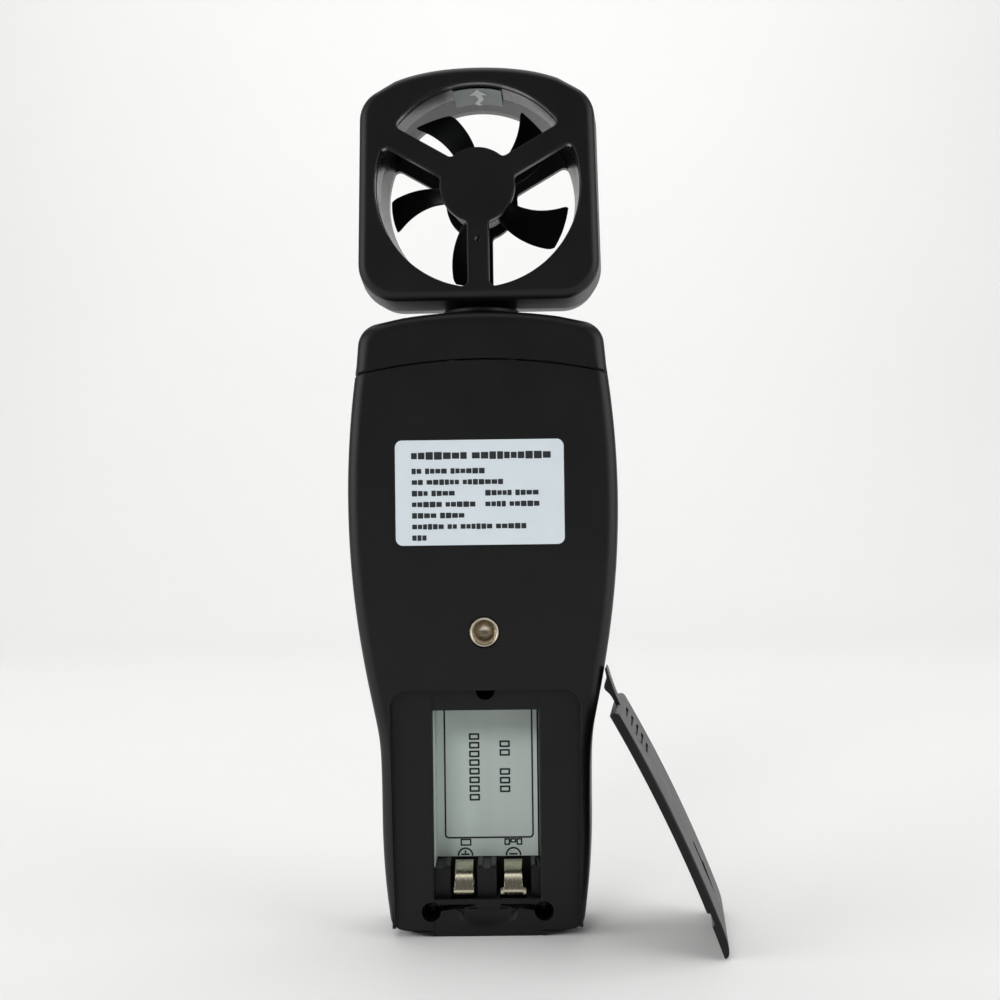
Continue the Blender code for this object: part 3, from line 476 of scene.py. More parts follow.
sensor_grey = plain_finish("grey_sensor_case", "#c4c4bd", "#b5b5ae", 0.5, 1.5, 0.3, 0.004)
bead_black = plain_finish("epoxy_dipped_thermistor", "#2a2a2c", "#1f1f20", 0.22, 1.5, 0.4, 0.004)
display_glass = plain_finish("display_glass", "#9aa694", "#8f9b89", 0.12, 1.52, 4.0, 0.001)
lens_clear = plain_finish(
    "clear_acrylic_lens", "#f4f6f5", "#eef1f0", 0.05, 1.49, 6.0, 0.001, Transmission_Weight=0.92
)
segment_ink = plain_finish("idle_display_segments", "#848f7f", "#7b8676", 0.3, 1.5, 2.0, 0.001)

# %% [markdown]
# ## Finishing a piece
# Every new piece ends the same way: it is scaled to metres, shaded smooth with its real
# edges kept, given its finish, and told which body it rides on. A
# Weighted Normal modifier keeps the large flat walls flat right up to their rounded edges.

# %% Finish helper


def finish_piece(piece, finish, body, replaced=(), sharp=32.0, head_frame=False):
    """Scale to metres, turn with the head if asked, shade, paint, and ride on a body."""
    place = Matrix.Scale(MM, 4)
    if head_frame:
        place = Matrix.Rotation(HEAD_TURN, 4, "Z") @ place
    piece.data.transform(place)
    piece.data.shade_smooth()
    piece.data.set_sharp_from_angle(angle=math.radians(sharp))
    piece.data.materials.clear()
    piece.data.materials.append(finish)
    weighted = piece.modifiers.new("flat_walls", "WEIGHTED_NORMAL")
    weighted.keep_sharp = True
    weighted.weight = 60
    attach(piece, body)
    if replaced:
        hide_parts(*replaced)
    print(piece.name, len(piece.data.polygons), "faces")
    return piece


# %% [markdown]
# ## The case outline
# Seen from behind, the case is a belly that eases into a narrower grip, on a foot with
# rounded corners and under a low arched crown. One function gives its half width at each
# height, and the outline is drawn in by an inset to make the rounded edges and the walls.

# %% Case outline
CROWN_Z, CROWN_R = 159.7, 134.0
SEAM_Z, SEAM_R = 147.4, 140.0
WALL = 2.2


def half_width(z):
    """Half width in mm: the belly arc and the grip line, blended like the arm of a hyperbola."""
    belly = 35.6 - (z - 111.5) ** 2 / (2 * 232.0)
    grip = 27.6 - 0.0027 * np.maximum(0.0, 30.0 - z) ** 2
    return 0.5 * (belly + grip + np.hypot(belly - grip, 1.4))


def case_outline(inset, lift=None):
    """Outline drawn in by inset; lift is how far the foot and the crown are drawn in."""
    lift = inset if lift is None else lift
    z = np.linspace(10.0, 146.0, 64)
    side = np.column_stack([half_width(z) - inset, z])
    base = np.array([13.0, lift])
    foot = np.array([half_width(2.3) - inset, 2.3 + lift])
    foot_arc = round_corner(base, foot, side[0], max(4.6 - 0.8 * inset, 0.5), 14)
    crown = CROWN_Z - lift
    x = np.linspace(20.0, 1.0, 14)
    top = np.column_stack([x, crown - x ** 2 / (2 * CROWN_R)])
    shoulder = np.array([32.3 - inset, crown - 32.3 ** 2 / (2 * CROWN_R)])
    shoulder_arc = round_corner(side[-1], shoulder, top[0], max(7.0 - 0.8 * inset, 0.8), 16)
    return mirrored(np.concatenate([base[None], foot_arc, side, shoulder_arc, top]))


def edge_levels(face, parting, draft, edge, steps):
    """(depth, inset, lift) from the flat face, round its quarter-circle edge, to the parting."""
    inward = 1.0 if parting > face else -1.0
    angle = np.linspace(0, np.pi / 2, steps + 1)
    y = face + inward * edge * (1 - np.cos(angle))
    rounding = edge * (1 - np.sin(angle))
    y, rounding = np.append(y, parting), np.append(rounding, 0.0)
    lean = draft * (parting - y) / (parting - face)
    return np.column_stack([y, lean + rounding, rounding])


def case_rings(levels, wall=0.0):
    """Rings of the case at each level; wall draws them in for a cavity."""
    return [layer(case_outline(inset + wall, lift + wall), y) for y, inset, lift in levels]


def seam_block(offset, up):
    """Everything above, or below, the arched seam between the case and its cap."""
    x = np.linspace(-45.0, 45.0, 61)
    arc = np.column_stack([x, SEAM_Z + offset - x ** 2 / (2 * SEAM_R)])
    far = 260.0 if up else -60.0
    outline = np.concatenate([arc, [[45.0, far], [-45.0, far]]])
    return prism("seam_block", outline, -40.0, 40.0)


BACK_EDGE = (1.3, 3.0)
FRONT_EDGE = (0.8, 6.0)
GROOVE_DEEP = 0.4


def seam_groove():
    """Ring that widens the seam at the surface: a thin arched slab less a slightly smaller case."""
    x = np.linspace(-45.0, 45.0, 61)
    arc = SEAM_Z - x ** 2 / (2 * SEAM_R)
    low, high = np.column_stack([x, arc - 0.6]), np.column_stack([x, arc + 0.3])
    slab = prism("seam_groove", np.concatenate([low, high[::-1]]), -40.0, 40.0)
    back = edge_levels(BACK_Y + GROOVE_DEEP, PARTING_Y, *BACK_EDGE, 6)
    front = edge_levels(FRONT_Y - GROOVE_DEEP, PARTING_Y, *FRONT_EDGE, 8)
    levels = np.concatenate([back, front[-2::-1]])
    return cut(slab, loft("core", case_rings(levels, GROOVE_DEEP)))


print("belly half width", round(float(half_width(111.5)), 2), "mm")

# %% [markdown]
# ## The back shell
# The back shell is one moulding: the outer skin, the recess that the door fills, the
# battery bay and the bosses behind it. It is built as it would be machined from a block:
# skin, hollow, then bosses and bay walls added, then the recess, bay and holes cut.

# %% Back shell
RECESS_Y = -12.6
BAY_HALF, BAY_LOW, BAY_HIGH, BAY_FLOOR = 13.65, 9.4, 57.5, 5.1
SCREWS = ((0.0, 62.6), (-14.4, 6.3), (14.4, 6.3))
CONTACT_X = {"contact_plus": -6.1, "contact_minus": 6.6}
LABEL = (21.5, 13.4, 1.8, -0.7, 113.2)
SOCKET_Z = 77.6


def recess_outline(grow):
    """Door recess: slightly wider at the top, rounded upper corners, open at the bottom."""
    return polygon((
        (-23.3 - grow, -5.0, 0), (23.3 + grow, -5.0, 0),
        (24.3 + grow, 62.8 + grow, 4.5 + grow), (-24.3 - grow, 62.8 + grow, 4.5 + grow),
    ), 12)


def bay_outline(grow):
    middle = 0.5 * (BAY_LOW + BAY_HIGH)
    half = 0.5 * (BAY_HIGH - BAY_LOW)
    return rounded_rect(BAY_HALF + grow, half + grow, 0.4 + grow, 0.0, middle)


def wedge_slot(side):
    """Slot for the door's lower tab: deep beside the screw, running out towards the middle."""
    outline = [(12.2 * side, 8.1), (3.3 * side, 8.1), (3.3 * side, 7.7), (12.2 * side, 6.4)]
    return prism("tab_slot", outline, -14.0, -7.5)


def notch_facet(side):
    """Sloping triangle at each end of the finger scoop."""
    outline = np.array([(8.5 * side, 6.7), (6.1 * side, 6.7), (6.1 * side, 4.5)])
    top = layer(outline, -14.0)
    deep = layer(outline, -11.2) + (0.0, 0.0, 1.0)
    return loft("notch_facet", [top, deep])


def finger_scoop():
    """Dish at the foot of the recess: the lower part of an ellipsoid, as a stack of ellipses."""
    u = np.radians(np.linspace(72, 178, 24))[:, None]
    v = np.linspace(0, 2 * np.pi, 48, endpoint=False)[None]
    x = 8.2 * np.sin(u) * np.cos(v)
    y = -12.6 + 1.5 * np.sin(u) * np.sin(v)
    z = 6.0 + 4.2 * np.cos(u) + 0 * v
    return loft("finger_scoop", np.stack([x, y, z], axis=-1))


def make_back_shell():
    """The back moulding, in the order skin, hollow, bosses, recess, bay, holes."""
    parting = PARTING_Y - 0.5 * GAP
    shell = loft("back_moulding", case_rings(edge_levels(BACK_Y, parting, *BACK_EDGE, 10)))
    cut(shell, seam_block(-GAP, up=True))
    levels = edge_levels(BACK_Y + WALL, parting, *BACK_EDGE, 4)
    rings = case_rings(levels, WALL) + [layer(case_outline(WALL), 12.0)]
    hollow = loft("hollow", rings)
    cut(hollow, block("top", (-60, -60, 141.0), (60, 60, 300)))
    cut(shell, hollow)
    outer = BAY_HALF + 1.6
    bay = block("bay", (-outer, RECESS_Y - 1.0, 4.9), (outer, BAY_FLOOR + 1.6, BAY_HIGH + 1.6))
    floor = block("recess_floor", (-24.2, RECESS_Y - 1.6, 2.6), (24.2, RECESS_Y + 1.8, 65.8))
    posts = [rod("post", 3.6, RECESS_Y - 1.2, 2.6, spot) for spot in SCREWS]
    socket = rod("socket", 6.2, BACK_Y + 1.0, -3.2, (0, SOCKET_Z))
    join(shell, bay, floor, *posts, socket)
    cut(shell, rim_cutter("recess", recess_outline, RECESS_Y, BACK_Y, 0.3))
    cut(shell, block("groove", (-13.8, -20.0, -5.0), (13.8, RECESS_Y + 0.5, 62.3)))
    cut(shell, rim_cutter("pocket", bay_outline, BAY_FLOOR, RECESS_Y + 0.5, 0.25))
    for low, high in ((-14.6, -9.6), (-2.7, 2.3), (11.2, 14.6)):
        join(shell, block("bay_block", (low, -8.6, 8.4), (high, BAY_FLOOR + 1.0, 16.6)))
    for x in (-10.4, -1.9, 1.5, 12.0):
        join(shell, rod("bump", 0.85, -8.4, 2.0, (x, 16.5)))
    holes = [rod("hole", 2.45, RECESS_Y - 0.2, -4.4, spot) for spot in SCREWS]
    cut(shell, merged("holes", holes))
    bores = [rod("bore", 1.45, -5.0, 8.0, spot) for spot in SCREWS]
    cut(shell, merged("bores", bores))
    for x in CONTACT_X.values():
        cut(shell, block("contact_slot", (x - 3.4, -11.4, 6.8), (x + 3.4, 2.6, 10.4)))
    cut(shell, merged("tab_slots", [wedge_slot(-1), wedge_slot(1)]))
    cut(shell, finger_scoop())
    cut(shell, merged("notch_facets", [notch_facet(-1), notch_facet(1)]))
    cut(shell, block("foot_line", (-23.0, RECESS_Y - 0.2, 1.3), (23.0, RECESS_Y + 0.4, 1.65)))
    cut(shell, rod("hole", 4.05, BACK_Y - 1.0, -4.2, (0, SOCKET_Z)))
    half_x, half_z, corner, x, z = LABEL

    def rebate(grow):
        return rounded_rect(half_x + 0.2 + grow, half_z + 0.2 + grow, corner + 0.2 + grow, x, z)

    cut(shell, rim_cutter("rebate", rebate, BACK_Y + 0.4, BACK_Y, 0.1))
    cut(shell, seam_groove())
    return finish_piece(shell, case_black, "housing", ["back_shell"])


make_back_shell()

# %% [markdown]
# ## The front shell and the cap
# The display side is the same outline with a larger, six-millimetre edge. It holds the
# window and the key holes. The cap closes the top with an arched seam and carries the
# swivel in a round boss.

# %% Front shell
WINDOW_Z = 118.0
KEY_HALF = (5.2, 3.4)
KEYS = ("power", "hold", "mode", "unit", "max_min", "light")


def key_centre(number):
    """Keys stand two to a row, 17 mm apart, with 13 mm between rows."""
    return (number % 2 - 0.5) * 17.0, 84.0 - (number // 2) * 13.0


def make_front_shell():
    parting = PARTING_Y + 0.5 * GAP
    shell = loft("front_moulding", case_rings(edge_levels(FRONT_Y, parting, *FRONT_EDGE, 14)))
    cut(shell, seam_block(-GAP, up=True))
    levels = edge_levels(FRONT_Y - WALL, parting, *FRONT_EDGE, 5)
    rings = case_rings(levels, WALL) + [layer(case_outline(WALL), -12.0)]
    hollow = loft("hollow", rings)
    cut(hollow, block("top", (-60, -60, 141.0), (60, 60, 300)))
    cut(shell, hollow)
    for x, z in SCREWS:
        join(shell, rod("post", 2.9, BAY_FLOOR + 1.6 + GAP, FRONT_Y - 1.0, (x, z)))
    cut(shell, merged("bores", [rod("bore", 1.3, 3.0, 11.0, spot) for spot in SCREWS]))
    cut(shell, prism("window", rounded_rect(23.0, 16.5, 2.0, 0.0, WINDOW_Z), 8.0, FRONT_Y + 2))

    def lens_rebate(grow):
        return rounded_rect(25.3 + grow, 18.8 + grow, 3.0 + grow, 0.0, WINDOW_Z)

    cut(shell, rim_cutter("lens_rebate", lens_rebate, FRONT_Y - 1.3, FRONT_Y, 0.3))
    holes = []
    for number in range(len(KEYS)):
        x, z = key_centre(number)

        def hole(grow, x=x, z=z):
            room = GAP + grow
            return rounded_rect(KEY_HALF[0] + room, KEY_HALF[1] + room, KEY_HALF[1] + grow, x, z)

        holes.append(rim_cutter("key_hole", hole, 8.0, FRONT_Y, 0.5))
    cut(shell, merged("key_holes", holes))
    cut(shell, seam_groove())
    return finish_piece(shell, case_black, "housing", ["front_shell"])


def make_top_cap():
    back = edge_levels(BACK_Y, PARTING_Y, *BACK_EDGE, 10)
    front = edge_levels(FRONT_Y, PARTING_Y, *FRONT_EDGE, 14)
    cap = loft("top_cap_moulding", case_rings(np.concatenate([back, front[-2::-1]])))
    cut(cap, seam_block(0.0, up=False))
    back = edge_levels(BACK_Y + WALL, PARTING_Y, *BACK_EDGE, 4)
    front = edge_levels(FRONT_Y - WALL, PARTING_Y, *FRONT_EDGE, 5)
    cut(cap, loft("hollow", case_rings(np.concatenate([back, front[-2::-1]]), WALL)))
    join(cap, rod("boss", 12.4, 152.5, 158.6, along="Z", steps=96))
    cut(cap, rod("bore", 9.7, 148.0, 165.0, along="Z", steps=96))
    cut(cap, seam_groove())
    return finish_piece(cap, case_black, "housing", ["top_cap"])


make_front_shell()
make_top_cap()

# %% [markdown]
# ## The vane head
# The head is a rounded square ring in two halves, back and front, screwed together. Each
# half carries a plate with a hub disc and three spokes. The openings between the spokes are
# one outline: hub arc, fillet, spoke side, fillet, duct arc, and back again.

# %% Head outlines
HUB_R, SPOKE_HALF = 9.7, 2.8
DUCT_R, DUCT_RIM_R = 26.2, 25.2
HEAD_FACE = 14.0
HEAD_SCREWS = ((24.5, 169.0), (-24.5, 169.0), (25.0, 211.6), (-25.0, 211.6))


def head_drop(x):
    """How far the top edge has dropped at x: nearly flat, then faster towards the corners."""
    return 0.00524 * x ** 2 + 4.4e-6 * x ** 4


def head_outline(inset):
    """Rounded square with a crowned top edge, drawn in by inset."""
    low, high = 161.9 + inset, 223.5 - inset
    side_low, side_high = 32.0 - inset, 30.9 - inset
    shoulder = np.array([side_high, high - head_drop(side_high)])
    x = np.linspace(21.0, 1.0, 14)
    top = np.column_stack([x, high - head_drop(x)])
    corner = np.array([side_low, low])
    low_arc = round_corner((-side_low, low), corner, shoulder, max(10.5 - inset, 1.0), 16)
    high_arc = round_corner(corner, shoulder, top[0], max(9.0 - inset, 1.0), 16)
    return mirrored(np.concatenate([low_arc, high_arc, top]))


def opening_outline(start, end, mouth, grow):
    """Opening between the spokes at angles start and end, in degrees, about the duct axis.

    A fillet of radius c touches a spoke side (v = h) and a circle of radius r when its
    centre is at v = h + c, as far out as makes it r - c, or r + c for the hub, from the axis.
    """
    reach, hub, side = mouth + grow, HUB_R - grow, SPOKE_HALF - grow
    outer_c, hub_c = 1.5 + grow, 1.3 + grow
    v_outer, v_hub = side + outer_c, side + hub_c
    outer_centre = np.array([math.sqrt((reach - outer_c) ** 2 - v_outer ** 2), v_outer])
    hub_centre = np.array([math.sqrt((hub + hub_c) ** 2 - v_hub ** 2), v_hub])
    hub_touch, outer_touch = unit(hub_centre) * hub, unit(outer_centre) * reach
    fillet_low = arc_between(hub_centre, hub_touch, (hub_centre[0], side), 6)
    fillet_high = arc_between(outer_centre, (outer_centre[0], side), outer_touch, 6)
    flank = np.concatenate([fillet_low, fillet_high])

    def turned_by(points, degrees):
        c, s = math.cos(math.radians(degrees)), math.sin(math.radians(degrees))
        return points @ np.array([[c, s], [-s, c]])

    first = turned_by(flank, start)
    last = turned_by(flank[::-1] * (1, -1), end)
    duct_arc = arc_between((0, 0), first[-1], last[0], 40)[1:-1]
    hub_arc = arc_between((0, 0), last[-1], first[0], 20)[1:-1]
    return np.concatenate([first, duct_arc, last, hub_arc]) + (0.0, DUCT_Z)


def head_rings(levels, wall=0.0):
    return [layer(head_outline(inset + wall), y) for y, inset, _ in levels]


# %% Head halves


def make_head_half(name, side, node):
    """Half of the head; side is -1 for the back half and 1 for the front half."""
    face, parting = side * HEAD_FACE, side * 0.5 * GAP
    half = loft(name, head_rings(edge_levels(face, parting, 0.9, 2.3, 10)))
    levels = edge_levels(face - side * 2.2, parting, 0.9, 1.5, 2)
    hollow = loft("hollow", head_rings(levels, 2.2) + [layer(head_outline(2.2), -side * 2.0)])
    far = -side * 4.0
    cut(hollow, rod("duct_tube", 28.4, far, face, (0, DUCT_Z), steps=144))
    cut(half, hollow)
    inside = face - side * 3.0
    profile = [(0, inside), (DUCT_R, inside)]
    if side > 0:
        profile = [(0, inside), (DUCT_RIM_R, inside), (DUCT_RIM_R + 0.05, 9.5), (DUCT_R, 1.0)]
    profile += [(DUCT_R, far), (0, far)]
    cut(half, turned("throat", profile, (0, 0, DUCT_Z), steps=144))
    mouth = 26.8 if side < 0 else DUCT_RIM_R + 0.5
    for start in (-90, 30, 150):

        def opening(grow, start=start):
            return opening_outline(start, start + 120, mouth - 0.45, grow)

        cut(half, rim_cutter("opening", opening, inside - side * 0.5, face, 0.45))
    for spot in HEAD_SCREWS:
        low, high = sorted((side * 0.6, face - side * 1.2))
        join(half, rod("post", 2.6, low, high, spot))
        if side > 0:
            cut(half, rod("bore", 1.25, -1.0, 13.0, spot))
            cut(half, rod("sink", 2.3, 11.0, 16.0, spot))
        else:
            cut(half, rod("bore", 1.15, -8.6, 1.0, spot))
    low, high = sorted((inside + side * 0.5, side * 8.6))
    join(half, rod("boss", 3.6, low, high, (0, DUCT_Z)))
    low, high = sorted((side * 11.6, side * 8.0))
    cut(half, rod("pocket", 2.5, low, high, (0, DUCT_Z)))
    cut(half, rod("neck_hole", 4.3, 150.0, 164.0, along="Z"))
    if side < 0:
        cut(half, rod("bead_hole", 0.75, -16.0, -10.0, (0, 178.2), steps=24))
    finish_piece(half, case_black, "head", [node], head_frame=True)
    polish_duct(half)
    return half


def polish_duct(half):
    """The duct wall is smoother than the outside, so its faces take the polished black."""
    mesh = half.data
    mesh.materials.append(duct_black)
    count = len(mesh.polygons)
    middle, normal = np.empty(count * 3), np.empty(count * 3)
    mesh.polygons.foreach_get("center", middle)
    mesh.polygons.foreach_get("normal", normal)
    middle = middle.reshape(-1, 3) / MM - (0, 0, DUCT_Z)
    normal = normal.reshape(-1, 3)
    across = middle[:, [0, 2]]
    reach = np.hypot(across[:, 0], across[:, 1])
    inward = (normal[:, [0, 2]] * across).sum(axis=1) < -0.5 * reach
    wall = inward & (reach > 24.5) & (reach < 27.6) & (np.abs(middle[:, 1]) < 13.3)
    mesh.polygons.foreach_set("material_index", wall.astype(np.int32))
    mesh.update()
    print(half.name, int(wall.sum()), "duct faces")


make_head_half("head_back_moulding", -1, "head_back_shell")
make_head_half("head_front_moulding", 1, "head_front_shell")

# %% [markdown]
# ## The impeller
# Five thin blades twist from steep at the hub to flat at the tip, so that each part of the
# blade meets the air at the same angle. A blade is a grid: along it the radius grows, round
# it the section runs from edge to edge and back.

# %% Impeller
TIP_R = 23.8


def blade_points(turn):
    """Grid of one blade: rows from root to tip, columns round the thin arched section."""
    f = np.linspace(0, 1, 28)[:, None]
    loop = np.linspace(0, 2 * np.pi, 40, endpoint=False)[None]
    radius = 6.6 + f * (TIP_R - 6.6)
    tip = np.clip((f - 0.93) / 0.07, 0, 1)
    chord = (8.1 + 6.0 * f) * (1 - 0.10 * tip ** 2)
    pitch = np.radians(57.0 - 18.3 * f)
    thick = 1.3 - 0.5 * f
    s = 0.5 * np.cos(loop)
    rise = 0.8 * (1 - 4 * s ** 2)
    half = 0.5 * thick * np.sin(loop)
    along, off = chord * s, rise + half
    sweep = -1.0 - 7.6 * f + 8.7 * f ** 2
    across = along * np.cos(pitch) + off * np.sin(pitch) + sweep
    depth = off * np.cos(pitch) - along * np.sin(pitch)
    angle = across / radius + turn
    return np.stack([radius * np.cos(angle), depth, radius * np.sin(angle)], axis=-1)


def make_impeller():
    profile = (
        (1.05, -6.0), (4.8, -6.0), (4.9, -5.6), (6.6, -5.6), (6.8, -6.0), (7.2, -6.0), (7.8, -5.8),
        (8.2, -5.2), (8.2, -3.0), (7.9, -2.8), (7.9, -2.2), (8.2, -2.0), (8.2, 4.8), (7.9, 5.7),
        (7.2, 6.3), (3.0, 7.4), (1.05, 7.4),
    )
    rotor = turned("impeller_moulding", profile, (0, 0, DUCT_Z), steps=96, closed=True)
    for number in range(5):
        points = blade_points(math.radians(49.0 + 72.0 * number))
        join(rotor, loft("blade", points + (0, 0, DUCT_Z)))
    ring = ((2.4, -7.0), (5.0, -7.0), (5.0, -4.2), (2.4, -4.2))
    cut(rotor, turned("pocket", ring, (0, 0, DUCT_Z), steps=48, closed=True))
    return finish_piece(
        rotor, blade_black, "impeller", ["impeller"], 38.0, head_frame=True
    )


make_impeller()

# %% [markdown]
# ## The label and its print
# The label is a thin film with round corners. The print is left generic: a heading and rows
# of short bars stand where a maker's text would be, so nothing on it can be read.

# %% Label


def bars(rows, height, gap=0.2):
    """Outlines of word-like bars. A row is (x, z, scale, words); a word is its letter count."""
    outlines = []
    for left, z, scale, words in rows:
        x = left
        for letters in words:
            for letter in range(letters):
                wide = scale * (1.26 + 0.22 * math.sin(7.0 * letter + 3.0 * letters + z))
                tall = scale * height * (0.5 + 0.06 * math.cos(5.0 * letter + z))
                outlines.append(rounded_rect(0.5 * wide, 0.5 * tall, 0.12, x + 0.5 * wide, z, 2))
                x += wide + scale * gap
            x += scale * 0.75
    return outlines


def make_label():
    half_x, half_z, corner, x, z = LABEL
    outline = rounded_rect(half_x, half_z, corner, x, z, 12)
    film = prism("label_film", outline, BACK_Y + 0.03, BACK_Y + 0.25)
    finish_piece(film, label_silver, "housing", ["rating_label"])
    rows = [(-17.4, 9.4, 1.37, (7, 10))]
    layout = ((2, 4, 6), (2, 6, 7), (3, 4), (5, 5), (4, 4), (6, 2, 6, 5), (3,))
    rows += [(-17.3, 5.5 - 2.83 * i, 1.0, words) for i, words in enumerate(layout)]
    rows += [(1.4, 5.5 - 2.83 * i, 1.0, words) for i, words in ((2, (5, 4)), (3, (4, 5)))]
    rows = [(x + left, z + up, scale, words) for left, up, scale, words in rows]
    marks = [prism("mark", o, BACK_Y + 0.01, BACK_Y + 0.06) for o in bars(rows, 2.6)]
    finish_piece(merged("label_print", marks), print_ink, "housing")


make_label()

# %% [markdown]
# ## The tripod insert
# A nickel-plated brass bush with a quarter-inch thread, moulded into the back. The thread is
# one surface: going round the bore, the radius follows a triangle wave of the depth, and the
# wave moves along by one pitch for each turn, which is what makes it a helix.

# %% Tripod insert


def make_tripod_insert():
    """Outer wall, stepped rim, threaded bore and floor as one grid about the axis."""
    pitch, steps = 1.27, 96
    depth = np.linspace(1.1, 7.6, 92)[:, None]
    angle = np.linspace(0, 2 * np.pi, steps, endpoint=False)[None]
    phase = (depth / pitch + angle / (2 * np.pi)) % 1.0
    wave = 1 - 2 * np.abs(phase - 0.5)
    fade = np.clip((depth - 1.1) / 0.8, 0, 1) * np.clip((7.6 - depth) / 0.8, 0, 1)
    bore = 3.12 - 0.5 * wave * fade
    outside = ((0.0, 10.4), (3.75, 10.4), (3.75, 0.12), (3.63, 0.0), (3.42, 0.0), (3.36, 0.08),
               (3.34, 0.4), (3.2, 0.46), (3.12, 0.75))
    rim = np.array(outside)
    flat = np.zeros((1, steps))
    radius = np.concatenate([rim[:, :1] + flat, bore, flat])
    along = np.concatenate([rim[:, 1:] + flat, depth + flat, flat + 9.9])
    points = np.stack([
        radius * np.cos(angle), BACK_Y + along, SOCKET_Z + radius * np.sin(angle),
    ], axis=-1)
    faces = grid_cells(*points.shape[:2], wrap_columns=True).tolist()
    insert = solid("threaded_insert", points.reshape(-1, 3), faces)
    finish_piece(insert, insert_nickel, "housing", ["tripod_insert"], 28.0)


make_tripod_insert()

# %% [markdown]
# ## The battery bay film
# The metallised film on the floor of the bay shows how the battery lies: its outline, its two
# snaps, and a plus and a minus in circles. Two rows of small boxes stand in for the words.
# A narrow strip of it is curled up the left wall of the bay.

# %% Bay film
FILM_Y = 4.6
FILM_LEFT = 13.45
SNAP_BOXES = ((-5.9, 1.45, 0.95), (6.7, 0.82, 0.6), (8.32, 0.78, 0.9), (5.08, 0.78, 0.9))


def strip(points, width):
    """Thin quad outline round a straight line."""
    one, two = np.array(points[0], float), np.array(points[1], float)
    side = unit(np.array([one[1] - two[1], two[0] - one[0]])) * 0.5 * width
    return np.array([one + side, two + side, two - side, one - side])


def frame_outline(outer, inner):
    """Ring between two outlines with equal point counts, as pieces of print."""
    count = len(outer)
    mesh_points = np.concatenate([
        layer(outer, FILM_Y - 0.03), layer(inner, FILM_Y - 0.03),
        layer(inner, FILM_Y + 0.02), layer(outer, FILM_Y + 0.02),
    ])
    return solid("ring", mesh_points, grid_cells(4, count, True, True).tolist())


def circle(x, z, radius, steps=32):
    angle = np.linspace(0, 2 * np.pi, steps, endpoint=False)
    return np.column_stack([x + radius * np.cos(angle), z + radius * np.sin(angle)])


def printed(outline):
    return prism("mark", outline, FILM_Y - 0.03, FILM_Y + 0.02)


def letter_block(x, z):
    """Stand-in for one letter: a small upright box outline, read from the side."""
    outer = rounded_rect(1.4, 0.9, 0.25, x, z, 4)
    return frame_outline(outer, rounded_rect(0.92, 0.42, 0.1, x, z, 4))


def make_bay_film():
    low, high = box_mm("bay_sticker")
    middle, half = 0.5 * (low[2] + high[2]), 0.5 * (high[2] - low[2])
    across = 0.5 * (high[0] + FILM_LEFT)
    outline = rounded_rect(across, half, 0.2, high[0] - across, middle, 4)
    flat = prism("flat", outline, FILM_Y, FILM_Y + 0.2)
    lip = block("lip", (-13.62, -9.0, 17.0), (-13.46, FILM_Y + 0.2, high[2]))
    film = merged("bay_film", [flat, lip])
    finish_piece(film, bay_silver, "housing", ["bay_sticker"])
    left, right, foot, line = -11.5, 12.2, 21.6, 0.45
    battery = (0.5 * (left + right), 0.5 * (foot + 70.0))
    size = (0.5 * (right - left), 0.5 * (70.0 - foot))
    outer = rounded_rect(*size, 1.1, *battery)
    inner = rounded_rect(size[0] - line, size[1] - line, 0.7, *battery)
    marks = [frame_outline(outer, inner)]
    for x, wide, tall in SNAP_BOXES:
        z = 21.55 - tall
        outer = rounded_rect(wide, tall, 0.2, x, z, 4)
        marks.append(frame_outline(outer, rounded_rect(wide - 0.4, tall - 0.4, 0.1, x, z, 4)))
    for x in (-6.05, 6.7):
        marks.append(frame_outline(circle(x, 17.15, 2.1), circle(x, 17.15, 1.65)))
        marks.append(printed(strip(((x - 1.1, 17.4), (x + 1.1, 17.4)), 0.42)))
    marks.append(printed(strip(((-6.05, 17.65), (-6.05, 18.45)), 0.42)))
    pitch = 2.3
    marks += [letter_block(-3.4, 48.6 - pitch * i) for i in range(8)]
    marks += [letter_block(4.7, 46.6 - pitch * i) for i in (0, 1, 3.2, 4.2, 5.2)]
    print_piece = merged("bay_print", marks)
    keep = block("keep", (-20, 0, low[2] + 0.1), (20, 10, high[2] - 0.2))
    combine(print_piece, [keep], "INTERSECT")
    finish_piece(print_piece, print_ink, "housing")


make_bay_film()

# %% [markdown]
# ## The battery contacts
# Each contact is a leaf of spring steel, bent over twice. It is a strip carried along a
# smooth path: the path's own normals give the two faces, and rounded long edges keep the
# plating bright. The minus contact also has a wider foot that locates it in its slot.

# %% Contacts


def smooth_path(knots, steps):
    """Catmull-Rom curve through knots: each stretch is a cubic set by its neighbours."""
    knots = np.array(knots, float)
    padded = np.concatenate([[2 * knots[0] - knots[1]], knots, [2 * knots[-1] - knots[-2]]])
    a, b, c, d = (padded[i:i + len(knots) - 1, None] for i in range(4))
    t = np.linspace(0, 1, steps, endpoint=False)[None, :, None]
    curve = 0.5 * (2 * b + (c - a) * t + (2 * a - 5 * b + 4 * c - d) * t ** 2
                   + (3 * b - a - 3 * c + d) * t ** 3)
    return np.concatenate([curve.reshape(-1, knots.shape[1]), knots[-1:]])


def leaf(name, path, half, thick, x):
    """Strip along a (y, z) path; its section is a thin rectangle with rounded long edges."""
    path = np.asarray(path, float)
    ahead = np.gradient(path, axis=0)
    normal = np.column_stack([-ahead[:, 1], ahead[:, 0]])
    normal /= np.linalg.norm(normal, axis=1)[:, None]
    section = rounded_rect(1.0, 1.0, 0.3, steps=4)
    across = x + section[None, :, 0] * np.asarray(half, float).reshape(-1, 1)
    offset = 0.5 * thick * section[None, :, 1]
    y = path[:, :1] + normal[:, :1] * offset
    z = path[:, 1:] + normal[:, 1:] * offset
    return loft(name, np.stack([across + 0 * y, y, z], axis=-1))


